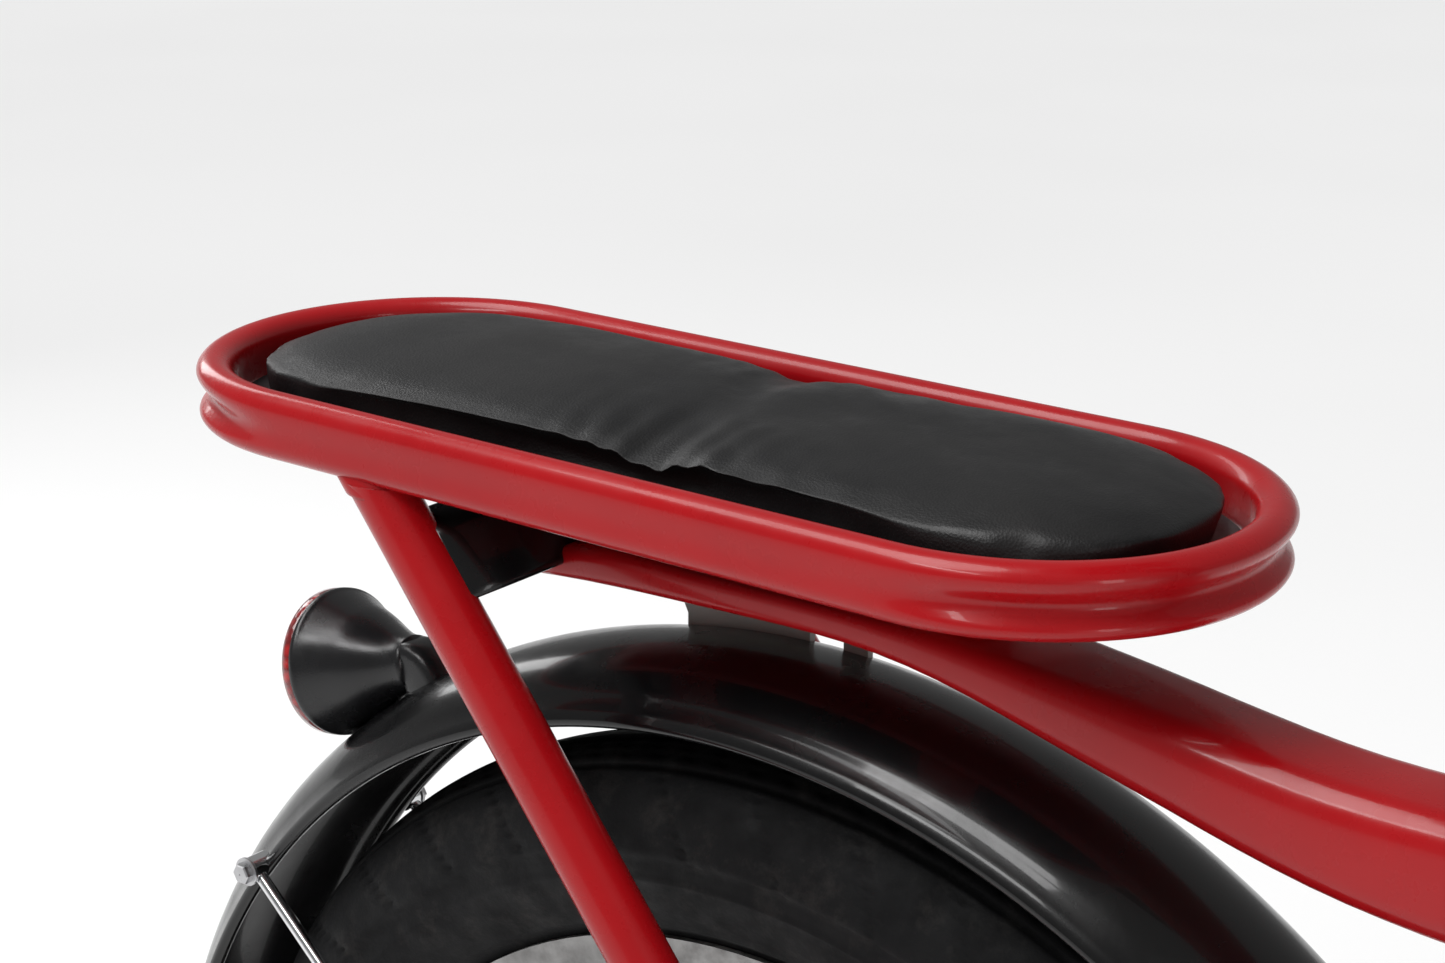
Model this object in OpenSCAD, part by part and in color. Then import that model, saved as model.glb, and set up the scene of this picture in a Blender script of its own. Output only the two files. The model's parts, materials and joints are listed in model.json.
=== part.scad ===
// Step-through bicycle with wide tyres and a padded passenger seat over its rear wheel.
// Millimetres. +X points forward, +Y to the rider's left, +Z up.
// The origin is on the ground, midway between the rearmost and foremost points.

/* [Wheels] */
// Distance between the two axles
wheelbase = 1060; // [1000:5:1150]
// Outside radius of both tyres
tyre_r = 275; // [250:1:300]
// Full width of both tyres
tyre_w = 75; // [66:1:90]
// Thickness of the tyre's casing at the tread
tyre_wall = 6; // [4:0.5:8]
// Radius of the rims at their flanges
rim_r = 208.5; // [200:0.5:212]
// Full width of the rims
rim_w = 51; // [44:1:56]
// Spokes in each wheel
spoke_count = 36; // [28:4:36]
// Radius of both wheel axles
axle_r = 5; // [4:0.5:6]

/* [Fenders] */
// Gap from the tyre's tread to the outside of the fender's crown
fender_gap = 37.4; // [28:0.1:45]
// Full width of the fenders
fender_w = 80; // [76:1:90]
// Depth of the fender's section from crown to edge
fender_depth = 24; // [18:1:28]
// Sheet thickness of the fenders
fender_wall = 2; // [1.2:0.1:3]
// Angle above the horizontal at which the rear fender starts in front and ends behind
fender_low_angle = 12; // [10:1:25]
// Angle above the horizontal at which the front fender starts in front
front_fender_angle = 52; // [40:1:70]

/* [Passenger seat] */
// Length of the hoop that holds the passenger pad
hoop_l = 420; // [380:5:500]
// Width of the hoop
hoop_w = 164; // [140:2:190]
// Height of the hoop's flat-oval tube
hoop_tube_h = 24; // [20:1:30]
// Width of the hoop's flat-oval tube
hoop_tube_w = 13; // [11:0.5:18]
// Wall of the hoop's tube
hoop_wall = 2; // [1.5:0.1:3]
// How far the hoop's middle lies behind the rear axle
hoop_back = 45; // [20:1:70]
// Clear height from the top of the fender to the underside of the hoop
hoop_clear = 53.6; // [50:0.2:70]
// Gap between the pad and the inside of the hoop
pad_gap = 3; // [2:0.5:6]
// Height of the pad's solid above the hoop
pad_rise = 7; // [4:1:20]

/* [Frame] */
// Distance from the rear tyre's tread to the middle of the bottom bracket
bb_gap = 150; // [135:5:180]
// Height of the bottom bracket above the ground
bb_z = 290; // [275:5:320]
// Slope of the seat tube from the horizontal, leaning back
seat_angle = 72; // [70:0.5:75]
// Height of the top of the seat tube above the ground
seat_tube_top = 690; // [680:5:760]
// Slope of the steering axis from the horizontal
head_angle = 70; // [68:0.5:73]
// Length of the head tube
head_l = 145; // [120:5:170]
// Offset of the front axle ahead of the steering axis
fork_rake = 45; // [35:1:55]
// Width of the box-section main beam
beam_w = 44; // [40:1:56]
// Wall of the main beam
beam_wall = 2.5; // [2:0.1:4]
// Radius of the struts under the hoop
strut_r = 10.5; // [9:0.5:12]
// Radius of the chainstays
stay_r = 10; // [9:0.5:11]
// Wall of the frame's round tubes
tube_wall = 2; // [1.5:0.1:3]

/* [Drive] */
// Teeth on the chainring
ring_teeth = 44; // [36:1:46]
// Teeth on the rear sprocket
sprocket_teeth = 18; // [15:1:20]
// Distance from the middle of the crank to the pedal axle
crank_l = 160; // [150:5:165]
// Length of each pedal across the bicycle
pedal_l = 93; // [80:1:110]

/* [Handlebar and saddle] */
// Full width across the grips
bar_w = 660; // [600:10:720]
// Height that the bar rises above the stem
bar_rise = 140; // [100:5:180]
// Radius of the handlebar tube
bar_r = 11.1; // [10.5:0.1:12]
// Length of each grip
grip_l = 125; // [100:5:140]
// Height of the steerer above the upper headset cup
stem_reach = 138; // [110:1:180]
// Radius of the seat post
post_r = 15; // [12.5:0.1:16]
// Height of the saddle rails above the ground
rail_z = 858; // [840:1:900]
// Length of the saddle
saddle_l = 262; // [240:2:280]
// Width of the saddle at its rear
saddle_w = 196; // [170:2:230]

/* [Fits] */
// Radial clearance of a shaft that turns or slides in a bore
run_gap = 0.05; // [0.03:0.01:0.1]
// Clearance between pieces that pass each other
pass_gap = 0.5; // [0.3:0.1:1]

/* [Hidden] */
$fn = 64;

// Colours
PAINT = "firebrick";
BLACK = "#1b1b1d";
DARK = "#26272a";
STEEL = "#b9bcc0";
GREY = "#8d8f92";
LENS_RED = "#c01818";
LENS_CLEAR = "#dfe6ea";

// Ends of the object along X, measured from the rear axle
fender_r = tyre_r + fender_gap;
rear_reach = max(tyre_r, fender_r * cos(fender_low_angle));
front_reach = wheelbase + max(tyre_r, fender_r * cos(front_fender_angle));
rear_axle_x = (rear_reach - front_reach) / 2;
axle_z = tyre_r;

// Widths across the bicycle, all counted outward from the tyre's side
half = tyre_w / 2;
fender_half = fender_w / 2;
chain_y = half + 18;
dropout_y = half + 30;
dropout_t = 6;
stay_rear_y = dropout_y + dropout_t / 2;
stay_front_y = half - 2.5;
bb_half = half + 12.5;
arm_y = half + 24.5;
arm_t = 13;
pedal_y = arm_y + arm_t + 7;
strut_low_y = half + 33.7;
strut_top_y = hoop_w / 2 - strut_r - 0.3;
fork_y = half + 20.5;
fork_blade_r = 13;
fork_tip_t = 6;

// Heights of the passenger seat
hoop_z = axle_z + fender_r + hoop_clear;
strap_t = 4.5;
strap_back = 40;
strap_ahead = 107;
base_t = 5;

// Bottom bracket
bb_x = tyre_r + bb_gap;
bb_r = 21;
bb_bore_r = 18;
spindle_r = 10;

// Chain and sprockets
pitch = 12.7;
ring_r = pitch / 2 / sin(180 / ring_teeth);
sprocket_r = pitch / 2 / sin(180 / sprocket_teeth);
sprocket_t = 3;
chain_w = 7.2;
chain_plate_t = 1.6;
chain_h = 3.8;

// Seat tube and post
seat_r = post_r + run_gap + tube_wall;
seat_dir = [-cos(seat_angle), 0, sin(seat_angle)];
seat_s = (seat_tube_top - bb_z) / sin(seat_angle);
clamp_h = 20;
clamp_r = seat_r + 4;

// Head tube, fork and stem
head_r = 22;
head_bore_r = 17;
steerer_r = 14.3;
steer_dir = [-cos(head_angle), 0, sin(head_angle)];
steer_ahead = [sin(head_angle), 0, cos(head_angle)];
crown_h = 28;
crown_s = sqrt(pow(fender_r + 8, 2) - pow(fork_rake, 2));
cup_h = 8;
cup_gap = 0.5;
cup_low_s = crown_s + crown_h + cup_gap;
head_s = cup_low_s + cup_h;
cup_high_s = head_s + head_l;
stem_s = cup_high_s + cup_h + cup_gap;
collar_h = 48;
bar_s = cup_high_s + stem_reach;
stem_r = 14;
barrel_r = 19;
sleeve_r = 12.7;
sleeve_half = 45;

// Points and directions ------------------------------------------------------------

function lerp(a, b, t) = a + (b - a) * t;
function unit(v) = v / norm(v);
function steer_point(s) = [wheelbase, 0, axle_z] - fork_rake * steer_ahead + s * steer_dir;
function seat_point(s) = [bb_x, 0, bb_z] + s * seat_dir;
// Middle of a chainstay at the distance x ahead of the rear axle; side is 1 left, -1 right
function stay_point(x, side) = [
    x,
    side * lerp(stay_rear_y, stay_front_y, x / bb_x),
    lerp(axle_z, bb_z, x / bb_x)
];
// Point on a circle round a wheel's axle, at an angle above straight ahead
function wheel_point(r, angle, y) = [r * cos(angle), y, axle_z + r * sin(angle)];

// Puts a piece at its place in the frame that starts on the ground at mid length
module place() {
    translate([rear_axle_x, 0, 0]) children();
}

// A round bar from a to b
module rod(a, b, r) {
    v = b - a;
    translate(a)
        rotate([0, acos(v[2] / norm(v)), atan2(v[1], v[0])])
            cylinder(h = norm(v), r = r);
}

// A tube from a to b that is open at both ends
module tube(a, b, r, wall) {
    u = unit(b - a);
    difference() {
        rod(a, b, r);
        rod(a - u, b + u, r - wall);
    }
}

// A disc or bar lying across the bicycle, from y0 to y1
module across(x, z, r, y0, y1) {
    translate([x, max(y0, y1), z])
        rotate([90, 0, 0])
            cylinder(h = abs(y1 - y0), r = r);
}

// An outline in the XZ plane given thickness from y0 to y1
module slab(y0, y1) {
    translate([0, max(y0, y1), 0])
        rotate([90, 0, 0])
            linear_extrude(abs(y1 - y0)) children();
}

// A profile of radius and width turned round a wheel's axle, from angle a0 to a1
module around_axle(x, a0 = 0, a1 = 360) {
    translate([x, 0, axle_z])
        rotate([90, 0, 0])
            rotate([0, 0, a0])
                rotate_extrude(angle = a1 - a0, $fn = 120) children();
}

// Z runs up the steering axis from the point s above the front axle's level
module on_steer(s) {
    translate(steer_point(s)) rotate([0, head_angle - 90, 0]) children();
}

// Z runs up the seat tube from the point s above the bottom bracket
module on_seat(s) {
    translate(seat_point(s)) rotate([0, seat_angle - 90, 0]) children();
}

// Main beam ------------------------------------------------------------------------

// Stations of the beam's middle line: distance ahead of the rear axle, height, depth.
// Those behind the seat tube hang from the hoop; those ahead run to the head tube.
seat_cross_z = hoop_z - 67;
seat_cross_x = bb_x - (seat_cross_z - bb_z) / tan(seat_angle);
head_mid = steer_point(head_s + head_l / 2);
front_span = head_mid[0] - seat_cross_x;
strut_top_x = -128;
strut_foot_x = 162;
beam_low_z = bb_z + 172;
// The beam stops this far behind the steering axis, inside the head tube's width
beam_nose = 4;
BEAM = [
    [-106, hoop_z - 34, 16],
    [-34, hoop_z - 32.5, 12],
    [48, hoop_z - 32.2, 12],
    [127, hoop_z - 46, 27.5],
    [190, hoop_z - 58.5, 35],
    [235, hoop_z - 61.5, 40],
    [seat_cross_x, seat_cross_z, 46],
    [seat_cross_x + front_span * 0.2, lerp(beam_low_z, seat_cross_z, 0.5), 53],
    [seat_cross_x + front_span * 0.42, beam_low_z, 60],
    [seat_cross_x + front_span * 0.64, lerp(beam_low_z, head_mid[2], 0.18), 64],
    [seat_cross_x + front_span * 0.84, lerp(beam_low_z, head_mid[2], 0.62), 64],
    [head_mid[0], head_mid[2] + 2, 62]
];
beam_steps = 5;

function catmull(a, b, c, d, t) =
    0.5 * (2 * b + (c - a) * t + (2 * a - 5 * b + 4 * c - d) * t * t
           + (3 * b - a - 3 * c + d) * t * t * t);
function station(i) = BEAM[min(max(i, 0), len(BEAM) - 1)];
beam_line = [
    for (i = [0:len(BEAM) - 2], k = [0:beam_steps - 1])
        catmull(station(i - 1), station(i), station(i + 1), station(i + 2), k / beam_steps),
    BEAM[len(BEAM) - 1]
];
function beam_slope(j) =
    let (a = beam_line[max(j - 1, 0)], b = beam_line[min(j + 1, len(beam_line) - 1)])
    unit([b[0] - a[0], b[1] - a[1]]);
// Edge of the beam on one side of its middle line; grow moves it outward
function beam_edge(side, grow) = [
    for (j = [0:len(beam_line) - 1])
        let (u = beam_slope(j), p = beam_line[j], d = side * (p[2] / 2 + grow))
        [p[0] - u[1] * d, p[1] + u[0] * d]
];
function reversed(list) = [for (i = [len(list) - 1:-1:0]) list[i]];
function beam_outline(grow) = concat(beam_edge(-1, grow), reversed(beam_edge(1, grow)));

module beam_envelope(grow, w) {
    slab(-w / 2, w / 2) polygon(beam_outline(grow));
}

// The member that ties the two struts together and carries the end of the beam
cross_drop = 20;
cross_l = 36;
cross_t = 18;

module cross_block() {
    top = [strut_top_x, 0, hoop_z];
    foot = [strut_foot_x, 0, stay_point(strut_foot_x, 1)[2]];
    translate(lerp(top, foot, cross_drop / norm(foot - top)) + [3, 0, -2])
        rotate([0, atan2(top[2] - foot[2], foot[0] - top[0]), 0])
            cube([cross_l, 2 * strut_top_y, cross_t], center = true);
}

module main_beam() {
    color(PAINT) place() difference() {
        beam_envelope(0, beam_w);
        beam_envelope(-beam_wall, beam_w - 2 * beam_wall);
        cross_block();
        on_steer(head_s - 20) cylinder(h = head_l + 40, r = head_r);
        on_steer(head_s - 20) translate([-beam_nose, -beam_w, 0])
            cube([4 * head_r, 2 * beam_w, head_l + 40]);
        on_seat(100) cylinder(h = 400, r = seat_r);
    }
}

module head_tube() {
    color(PAINT) place() on_steer(head_s) difference() {
        cylinder(h = head_l, r = head_r);
        translate([0, 0, -1]) cylinder(h = head_l + 2, r = head_bore_r);
    }
}

module seat_tube() {
    color(PAINT) place() difference() {
        on_seat(0) cylinder(h = seat_s, r = seat_r);
        on_seat(-1) cylinder(h = seat_s + 2, r = post_r + run_gap);
        across(bb_x, bb_z, bb_r, -bb_half, bb_half);
    }
}

module bb_shell() {
    color(PAINT) place() difference() {
        across(bb_x, bb_z, bb_r, -bb_half, bb_half);
        across(bb_x, bb_z, bb_bore_r, -bb_half - 1, bb_half + 1);
    }
}

// Rear triangle --------------------------------------------------------------------

stay_start = 45;
plate_front = 75;
eye_r = 7;
eyelet = [8, 27];
spare_eyelet = [36, 19];
eyelet_r = 2.5;

module chainstay_bar(side, r) {
    rod(stay_point(stay_start, side), stay_point(bb_x, side), r);
}

module dropout_outline() {
    difference() {
        union() {
            circle(r = 22);
            translate([0, -9]) square([plate_front, 18]);
            for (e = [eyelet, spare_eyelet]) {
                translate(e) circle(r = eye_r);
                translate([e[0] - eye_r, 0]) square([2 * eye_r, e[1]]);
            }
        }
        circle(r = axle_r + run_gap);
        translate(spare_eyelet) circle(r = eyelet_r);
    }
}

module chainstay(side) {
    color(PAINT) place() difference() {
        chainstay_bar(side, stay_r);
        rod(stay_point(stay_start - 1, side), stay_point(bb_x, side), stay_r - tube_wall);
        across(bb_x, bb_z, bb_r, -bb_half, bb_half);
        translate([0, 0, axle_z])
            slab(side * dropout_y, side * (dropout_y + dropout_t))
                translate([0, -9]) square([plate_front, 18]);
    }
}

module chainstay_left() { chainstay(1); }
module chainstay_right() { chainstay(-1); }

module dropouts() {
    color(PAINT) place() for (side = [-1, 1])
        translate([0, 0, axle_z])
            slab(side * dropout_y, side * (dropout_y + dropout_t)) dropout_outline();
}

function strut_top(side) = [strut_top_x, side * strut_top_y, hoop_z];
function strut_foot(side) =
    [strut_foot_x, side * strut_low_y, stay_point(strut_foot_x, side)[2] - 4];

module strut_bar(side, r) {
    u = unit(strut_foot(side) - strut_top(side));
    rod(strut_top(side) - 20 * u, strut_foot(side), r);
}

module above_hoop_underside() {
    translate([strut_top_x - 60, -hoop_w, hoop_z]) cube([120, 2 * hoop_w, 60]);
}

module strut(side) {
    color(PAINT) place() difference() {
        strut_bar(side, strut_r);
        strut_bar(side, strut_r - tube_wall);
        chainstay_bar(side, stay_r);
        above_hoop_underside();
    }
}

module strut_left() { strut(1); }
module strut_right() { strut(-1); }

module cross_member() {
    color(PAINT) place() difference() {
        cross_block();
        for (side = [-1, 1]) strut_bar(side, strut_r);
        above_hoop_underside();
    }
}

// Passenger seat -------------------------------------------------------------------

module stadium(l, w) {
    hoop_mid = (l - w) / 2;
    translate([-hoop_mid, -w / 2]) square([2 * hoop_mid, w]);
    for (x = [-hoop_mid, hoop_mid]) translate([x, 0]) circle(r = w / 2, $fn = 96);
}

// Section of the hoop's tube, a flat oval standing on its short side
module oval_section(w, h) {
    for (z = [-1, 1]) translate([0, z * (h - w) / 2]) circle(r = w / 2, $fn = 24);
    translate([-w / 2, -(h - w) / 2]) square([w, h - w]);
}

module hoop_ring(w, h) {
    mid = (hoop_l - hoop_w) / 2;
    turn_r = (hoop_w - hoop_tube_w) / 2;
    for (end = [-1, 1]) translate([end * mid, 0, 0])
        rotate([0, 0, end * 90 - 180])
            rotate_extrude(angle = 180, $fn = 96)
                translate([turn_r, 0]) oval_section(w, h);
    for (side = [-1, 1]) translate([-mid, side * turn_r, 0])
        rotate([90, 0, 90]) linear_extrude(2 * mid) oval_section(w, h);
}

module seat_hoop() {
    color(PAINT) place() translate([-hoop_back, 0, hoop_z + hoop_tube_h / 2])
        difference() {
            hoop_ring(hoop_tube_w, hoop_tube_h);
            hoop_ring(hoop_tube_w - 2 * hoop_wall, hoop_tube_h - 2 * hoop_wall);
        }
}

module hoop_space() {
    translate([-hoop_back, 0, hoop_z + hoop_tube_h / 2])
        hoop_ring(hoop_tube_w, hoop_tube_h);
}

module seat_straps() {
    strap_w = 30;
    riser_w = 26;
    riser_h = 29;
    edge = 4;
    color(PAINT) place() difference() {
        for (x = [-hoop_back - strap_back, -hoop_back + strap_ahead]) {
            translate([x - strap_w / 2, -hoop_w / 2 + edge, hoop_z - strap_t + 1])
                cube([strap_w, hoop_w - 2 * edge, strap_t]);
            translate([x - strap_w / 2, -riser_w / 2, hoop_z - riser_h - 1])
                cube([strap_w, riser_w, riser_h]);
        }
        beam_envelope(0, beam_w);
        cross_block();
        hoop_space();
    }
}

module pad_outline(gap) {
    inner = 2 * (hoop_tube_w + gap);
    stadium(hoop_l - inner, hoop_w - inner);
}

module pad_base() {
    color(BLACK) place() translate([-hoop_back, 0, hoop_z + 1])
        linear_extrude(base_t) pad_outline(pad_gap - 2);
}

module passenger_pad() {
    crown_inset = 12;
    side_h = hoop_tube_h - 1 - base_t - 4;
    color(DARK) place() translate([-hoop_back, 0, hoop_z + 1 + base_t]) {
        linear_extrude(side_h) pad_outline(pad_gap);
        translate([0, 0, side_h]) linear_extrude(pad_rise + 4) pad_outline(pad_gap + crown_inset);
    }
}

// Fenders --------------------------------------------------------------------------

crown_arc_r = (pow(fender_half, 2) + pow(fender_depth, 2)) / (2 * fender_depth);
crown_arc_a = asin(fender_half / crown_arc_r);

function fender_arc(r) = [
    for (a = [-crown_arc_a:crown_arc_a / 12:crown_arc_a + 0.01])
        [fender_r - crown_arc_r + r * cos(a), r * sin(a)]
];

module fender_section() {
    polygon(concat(fender_arc(crown_arc_r), reversed(fender_arc(crown_arc_r - fender_wall))));
}

// All the space that a fender covers, down to the chord between its edges
module fender_space(x, a0, a1) {
    around_axle(x, a0, a1) polygon(fender_arc(crown_arc_r));
}

module rear_fender() {
    color(BLACK) place()
        around_axle(0, fender_low_angle, 180 - fender_low_angle) fender_section();
}

// Start and end of the two plates that hold the fender from the beam's left edge
bracket_spans = [[-72, -10], [4, 14]];
// The rear plate narrows by this much towards the fender
bracket_slant = 9;
bracket_y = 15;
bracket_plate_t = 3;
bracket_h = 50;

module rear_fender_brackets() {
    start = bracket_spans[0][0];
    fender_top = axle_z + fender_r;
    color(GREY) place() difference() {
        for (span = bracket_spans)
            translate([span[0], bracket_y, fender_top - 20])
                cube([span[1] - span[0], bracket_plate_t, bracket_h]);
        slab(bracket_y - 1, bracket_y + bracket_plate_t + 1) polygon([
            [start - 20, fender_top - 30],
            [start + bracket_slant, fender_top - 30],
            [start + bracket_slant, fender_top - 4],
            [start - 1, fender_top + 16],
            [start - 20, fender_top + 16]
        ]);
        beam_envelope(0, beam_w);
        translate([start - 10, 0, hoop_z - 32]) cube([120, beam_w, 60]);
        fender_space(0, 70, 120);
    }
}

stay_end_angle = 142;
stay_end_r = fender_r - fender_depth + 5;
stay_end_y = fender_half + 2;
stay_wire_r = 2.5;

// Eye and screw head of a stay on the side of its fender
module stay_end(x, angle, side) {
    end = wheel_point(stay_end_r, angle, 0);
    across(x + end[0], end[2], 5, side * (stay_end_y - 6), side * (stay_end_y + 4));
}

module rear_fender_stays() {
    eye_y = dropout_y + dropout_t;
    color(STEEL) place() difference() {
        for (side = [-1, 1]) {
            across(eyelet[0], axle_z + eyelet[1], 6, side * eye_y, side * (eye_y + 7));
            rod([eyelet[0], side * (eye_y + 4), axle_z + eyelet[1]],
                wheel_point(stay_end_r, stay_end_angle, side * stay_end_y), stay_wire_r);
            stay_end(0, stay_end_angle, side);
        }
        fender_space(0, 130, 155);
    }
}

// Tail light -----------------------------------------------------------------------

light_neck = [-182, fender_r - 47.4];
light_len = 38;
light_tilt = 13;
light_r = 28;
light_neck_r = 9;
// Where the foot meets the tail light's neck, ahead of the rear axle and above the ground
light_foot_top = [light_neck[0], axle_z + light_neck[1]];
lens_t = 5;

// Z runs back along the tail light from its neck
module on_tail_light() {
    translate([light_neck[0], 0, axle_z + light_neck[1]])
        rotate([0, -90 - light_tilt, 0]) children();
}

module tail_light_housing() {
    rim_l = 3;
    wall = 3;
    foot_w = 14;
    color(BLACK) place() difference() {
        union() {
            on_tail_light() cylinder(h = light_len - rim_l, r1 = light_neck_r, r2 = light_r);
            on_tail_light() translate([0, 0, light_len - rim_l]) cylinder(h = rim_l, r = light_r);
            slab(-foot_w / 2, foot_w / 2) polygon([
                light_foot_top + [-5, 4], light_foot_top + [7, 8],
                light_foot_top + [16, -28], light_foot_top + [-2, -28]
            ]);
        }
        on_tail_light() translate([0, 0, light_len / 2])
            cylinder(h = light_len / 2 + 1, r1 = 2, r2 = light_r - wall);
        fender_space(0, 115, 150);
    }
}

module tail_light_lens() {
    color(LENS_RED) place() on_tail_light() {
        translate([0, 0, light_len]) cylinder(h = lens_t, r = light_r);
    }
}

// Bearings, clamps and drive -------------------------------------------------------

module headset_cups() {
    insert = 10;
    color(STEEL) place() for (end = [[cup_low_s, cup_h], [cup_high_s, -insert]])
        on_steer(end[0]) difference() {
            union() {
                cylinder(h = cup_h, r = head_r + 1.5);
                translate([0, 0, end[1]])
                    cylinder(h = insert, r = head_bore_r - 0.02);
            }
            translate([0, 0, -insert - 1]) cylinder(h = 40, r = steerer_r + run_gap);
        }
}

module bb_cups() {
    insert = 14;
    flange = 3;
    color(STEEL) place() for (side = [-1, 1]) difference() {
        union() {
            across(bb_x, bb_z, bb_r, side * bb_half, side * (bb_half + flange));
            across(bb_x, bb_z, bb_bore_r - 0.02, side * (bb_half - insert), side * bb_half);
        }
        across(bb_x, bb_z, spindle_r + run_gap, side * (bb_half - 20), side * (bb_half + 6));
    }
}

clamp_ear = [10, 16];
lever_pivot = [-clamp_r - 6, clamp_r + 5.5];
lever_barrel_r = 4.5;
lever_l = 46;

module seat_clamp() {
    color(BLACK) place() on_seat(seat_s - clamp_h) difference() {
        union() {
            cylinder(h = clamp_h, r = clamp_r);
            translate([-clamp_r - clamp_ear[0], -clamp_ear[1], 3])
                cube([clamp_ear[0] + 6, 2 * clamp_ear[1], clamp_h - 6]);
            translate([lever_pivot[0], clamp_ear[1] - 1, clamp_h / 2]) rotate([-90, 0, 0])
                cylinder(h = lever_pivot[1] - lever_barrel_r - pass_gap - clamp_ear[1] + 1, r = 5);
        }
        translate([0, 0, -1]) cylinder(h = clamp_h + 2, r = seat_r + 0.02);
        translate([-clamp_r - 12, -1.5, -1]) cube([clamp_r, 3, clamp_h + 2]);
    }
}

module clamp_lever() {
    color(STEEL) place() on_seat(seat_s - clamp_h / 2) {
        translate([lever_pivot[0], lever_pivot[1], -5]) cylinder(h = 10, r = lever_barrel_r);
        translate([lever_pivot[0], lever_pivot[1] - 1.5, -4]) cube([lever_l, 4.5, 8]);
    }
}

drive_d = norm([bb_x, bb_z - axle_z]);
drive_a = atan2(bb_z - axle_z, bb_x);

// Loop round both sprockets, grown outward from the pitch line
function loop(grow) =
    let (s = sprocket_r + grow, b = ring_r + grow, t = acos((s - b) / drive_d), n = 40)
    concat(
        [for (i = [0:n]) let (a = drive_a + t + (360 - 2 * t) * i / n)
            [s * cos(a), axle_z + s * sin(a)]],
        [for (i = [0:n]) let (a = drive_a - t + 2 * t * i / n)
            [bb_x + b * cos(a), bb_z + b * sin(a)]]
    );

module chain() {
    tangent_a = acos((sprocket_r - ring_r) / drive_d);
    links = floor(drive_d * 0.62 / pitch);
    color(STEEL) place() {
        for (edge = [chain_y - chain_w / 2, chain_y + chain_w / 2 - chain_plate_t])
            slab(-edge - chain_plate_t, -edge) difference() {
                polygon(loop(chain_h));
                polygon(loop(-chain_h));
            }
        for (side = [-1, 1], i = [0:links]) {
            a = drive_a + side * tangent_a;
            start = [sprocket_r * cos(a), axle_z + sprocket_r * sin(a)];
            end = [bb_x + ring_r * cos(a), bb_z + ring_r * sin(a)];
            p = lerp(start, end, 0.12 + i * pitch / drive_d);
            across(p[0], p[1], 3.5, -chain_y - chain_w / 2 + 0.2, -chain_y + chain_w / 2 - 0.2);
        }
    }
}

function tooth_outline(n, r) = [
    for (i = [0:n - 1], c = [[-0.3, -4.6], [-0.1, 3], [0.1, 3], [0.3, -4.6]])
        let (a = (i + c[0]) * 360 / n)
        [(r + c[1]) * cos(a), (r + c[1]) * sin(a)]
];

hub_right = half - 1;
hub_left = half + 7;
spacer_r = 9;
brake_y = dropout_y - 6.5;

module rear_sprocket() {
    color(STEEL) place() translate([0, 0, axle_z]) difference() {
        union() {
            across(0, 0, 17, -hub_right - pass_gap, -chain_y + 1);
            slab(-chain_y - sprocket_t / 2, -chain_y + sprocket_t / 2)
                polygon(tooth_outline(sprocket_teeth, sprocket_r));
        }
        across(0, 0, axle_r + run_gap, -hub_right + 5, -chain_y - 5);
    }
}

module brake_arm() {
    strap = 110;
    arm_end = [strap, -44];
    strap_a = stay_point(strap - 7, 1);
    strap_b = stay_point(strap + 7, 1);
    color(STEEL) place() difference() {
        union() {
            translate([0, 0, axle_z]) slab(brake_y, brake_y + 3) {
                circle(r = 14);
                polygon([[-3, -14], [4, -14] + [0, 3], arm_end + [4, 8], arm_end + [-4, -7]]);
                translate([arm_end[0] - 7, arm_end[1] - 7])
                    square([14, -arm_end[1] - 4]);
            }
            rod(strap_a, strap_b, stay_r + 2.5);
        }
        chainstay_bar(1, stay_r + 0.02);
        across(0, axle_z, axle_r + 0.02, brake_y - 1, brake_y + 4);
    }
}

module axle_bar(x, end_y) {
    across(x, axle_z, axle_r, -end_y, end_y);
}

nut_t = 8;
// The axle's ends stand out past the nuts as plain tips, thinner than its thread,
// with a relief groove between the two
axle_tip_r = axle_r - 0.5;
axle_tip_l = 9;
axle_groove_l = 1;
axle_groove_r = axle_tip_r - 0.5;
nut_end = dropout_y + dropout_t + nut_t;

module rear_axle() {
    right_start = chain_y + sprocket_t / 2 + pass_gap;
    color(STEEL) place() {
        axle_bar(0, nut_end);
        for (side = [-1, 1]) {
            tip_y = nut_end + axle_groove_l;
            across(0, axle_z, axle_groove_r, side * nut_end, side * tip_y);
            across(0, axle_z, axle_tip_r, side * tip_y, side * (tip_y + axle_tip_l));
        }
        across(0, axle_z, spacer_r, hub_left + pass_gap, brake_y);
        across(0, axle_z, spacer_r, brake_y + 3, dropout_y);
        across(0, axle_z, spacer_r, -right_start, -dropout_y);
    }
}

module axle_nuts(x, seat_y) {
    for (side = [-1, 1]) difference() {
        union() {
            translate([x, 0, axle_z])
                slab(side * (seat_y + 1.5), side * (seat_y + nut_t)) circle(r = 8.6, $fn = 6);
            across(x, axle_z, 11, side * seat_y, side * (seat_y + 1.5));
        }
        across(x, axle_z, axle_r + 0.02, side * (seat_y - 1), side * (seat_y + nut_t + 1));
    }
}

module rear_axle_nuts() {
    color(STEEL) place() axle_nuts(0, dropout_y + dropout_t);
}

// Centre stand ---------------------------------------------------------------------

stand_x = tyre_r + 25;
stand_z = bb_z - 100;
stand_ear_y = half + 1;
stand_ear_t = 6;
pivot_r = 6;
eye_out = stand_ear_y + stand_ear_t + pass_gap;
eye_t = 11;
leg_r = 5.5;
stand_elbow_z = stand_z - 32;
foot_x = stand_x + 20;
foot_y = half + 87;
foot_h = 7;

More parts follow.
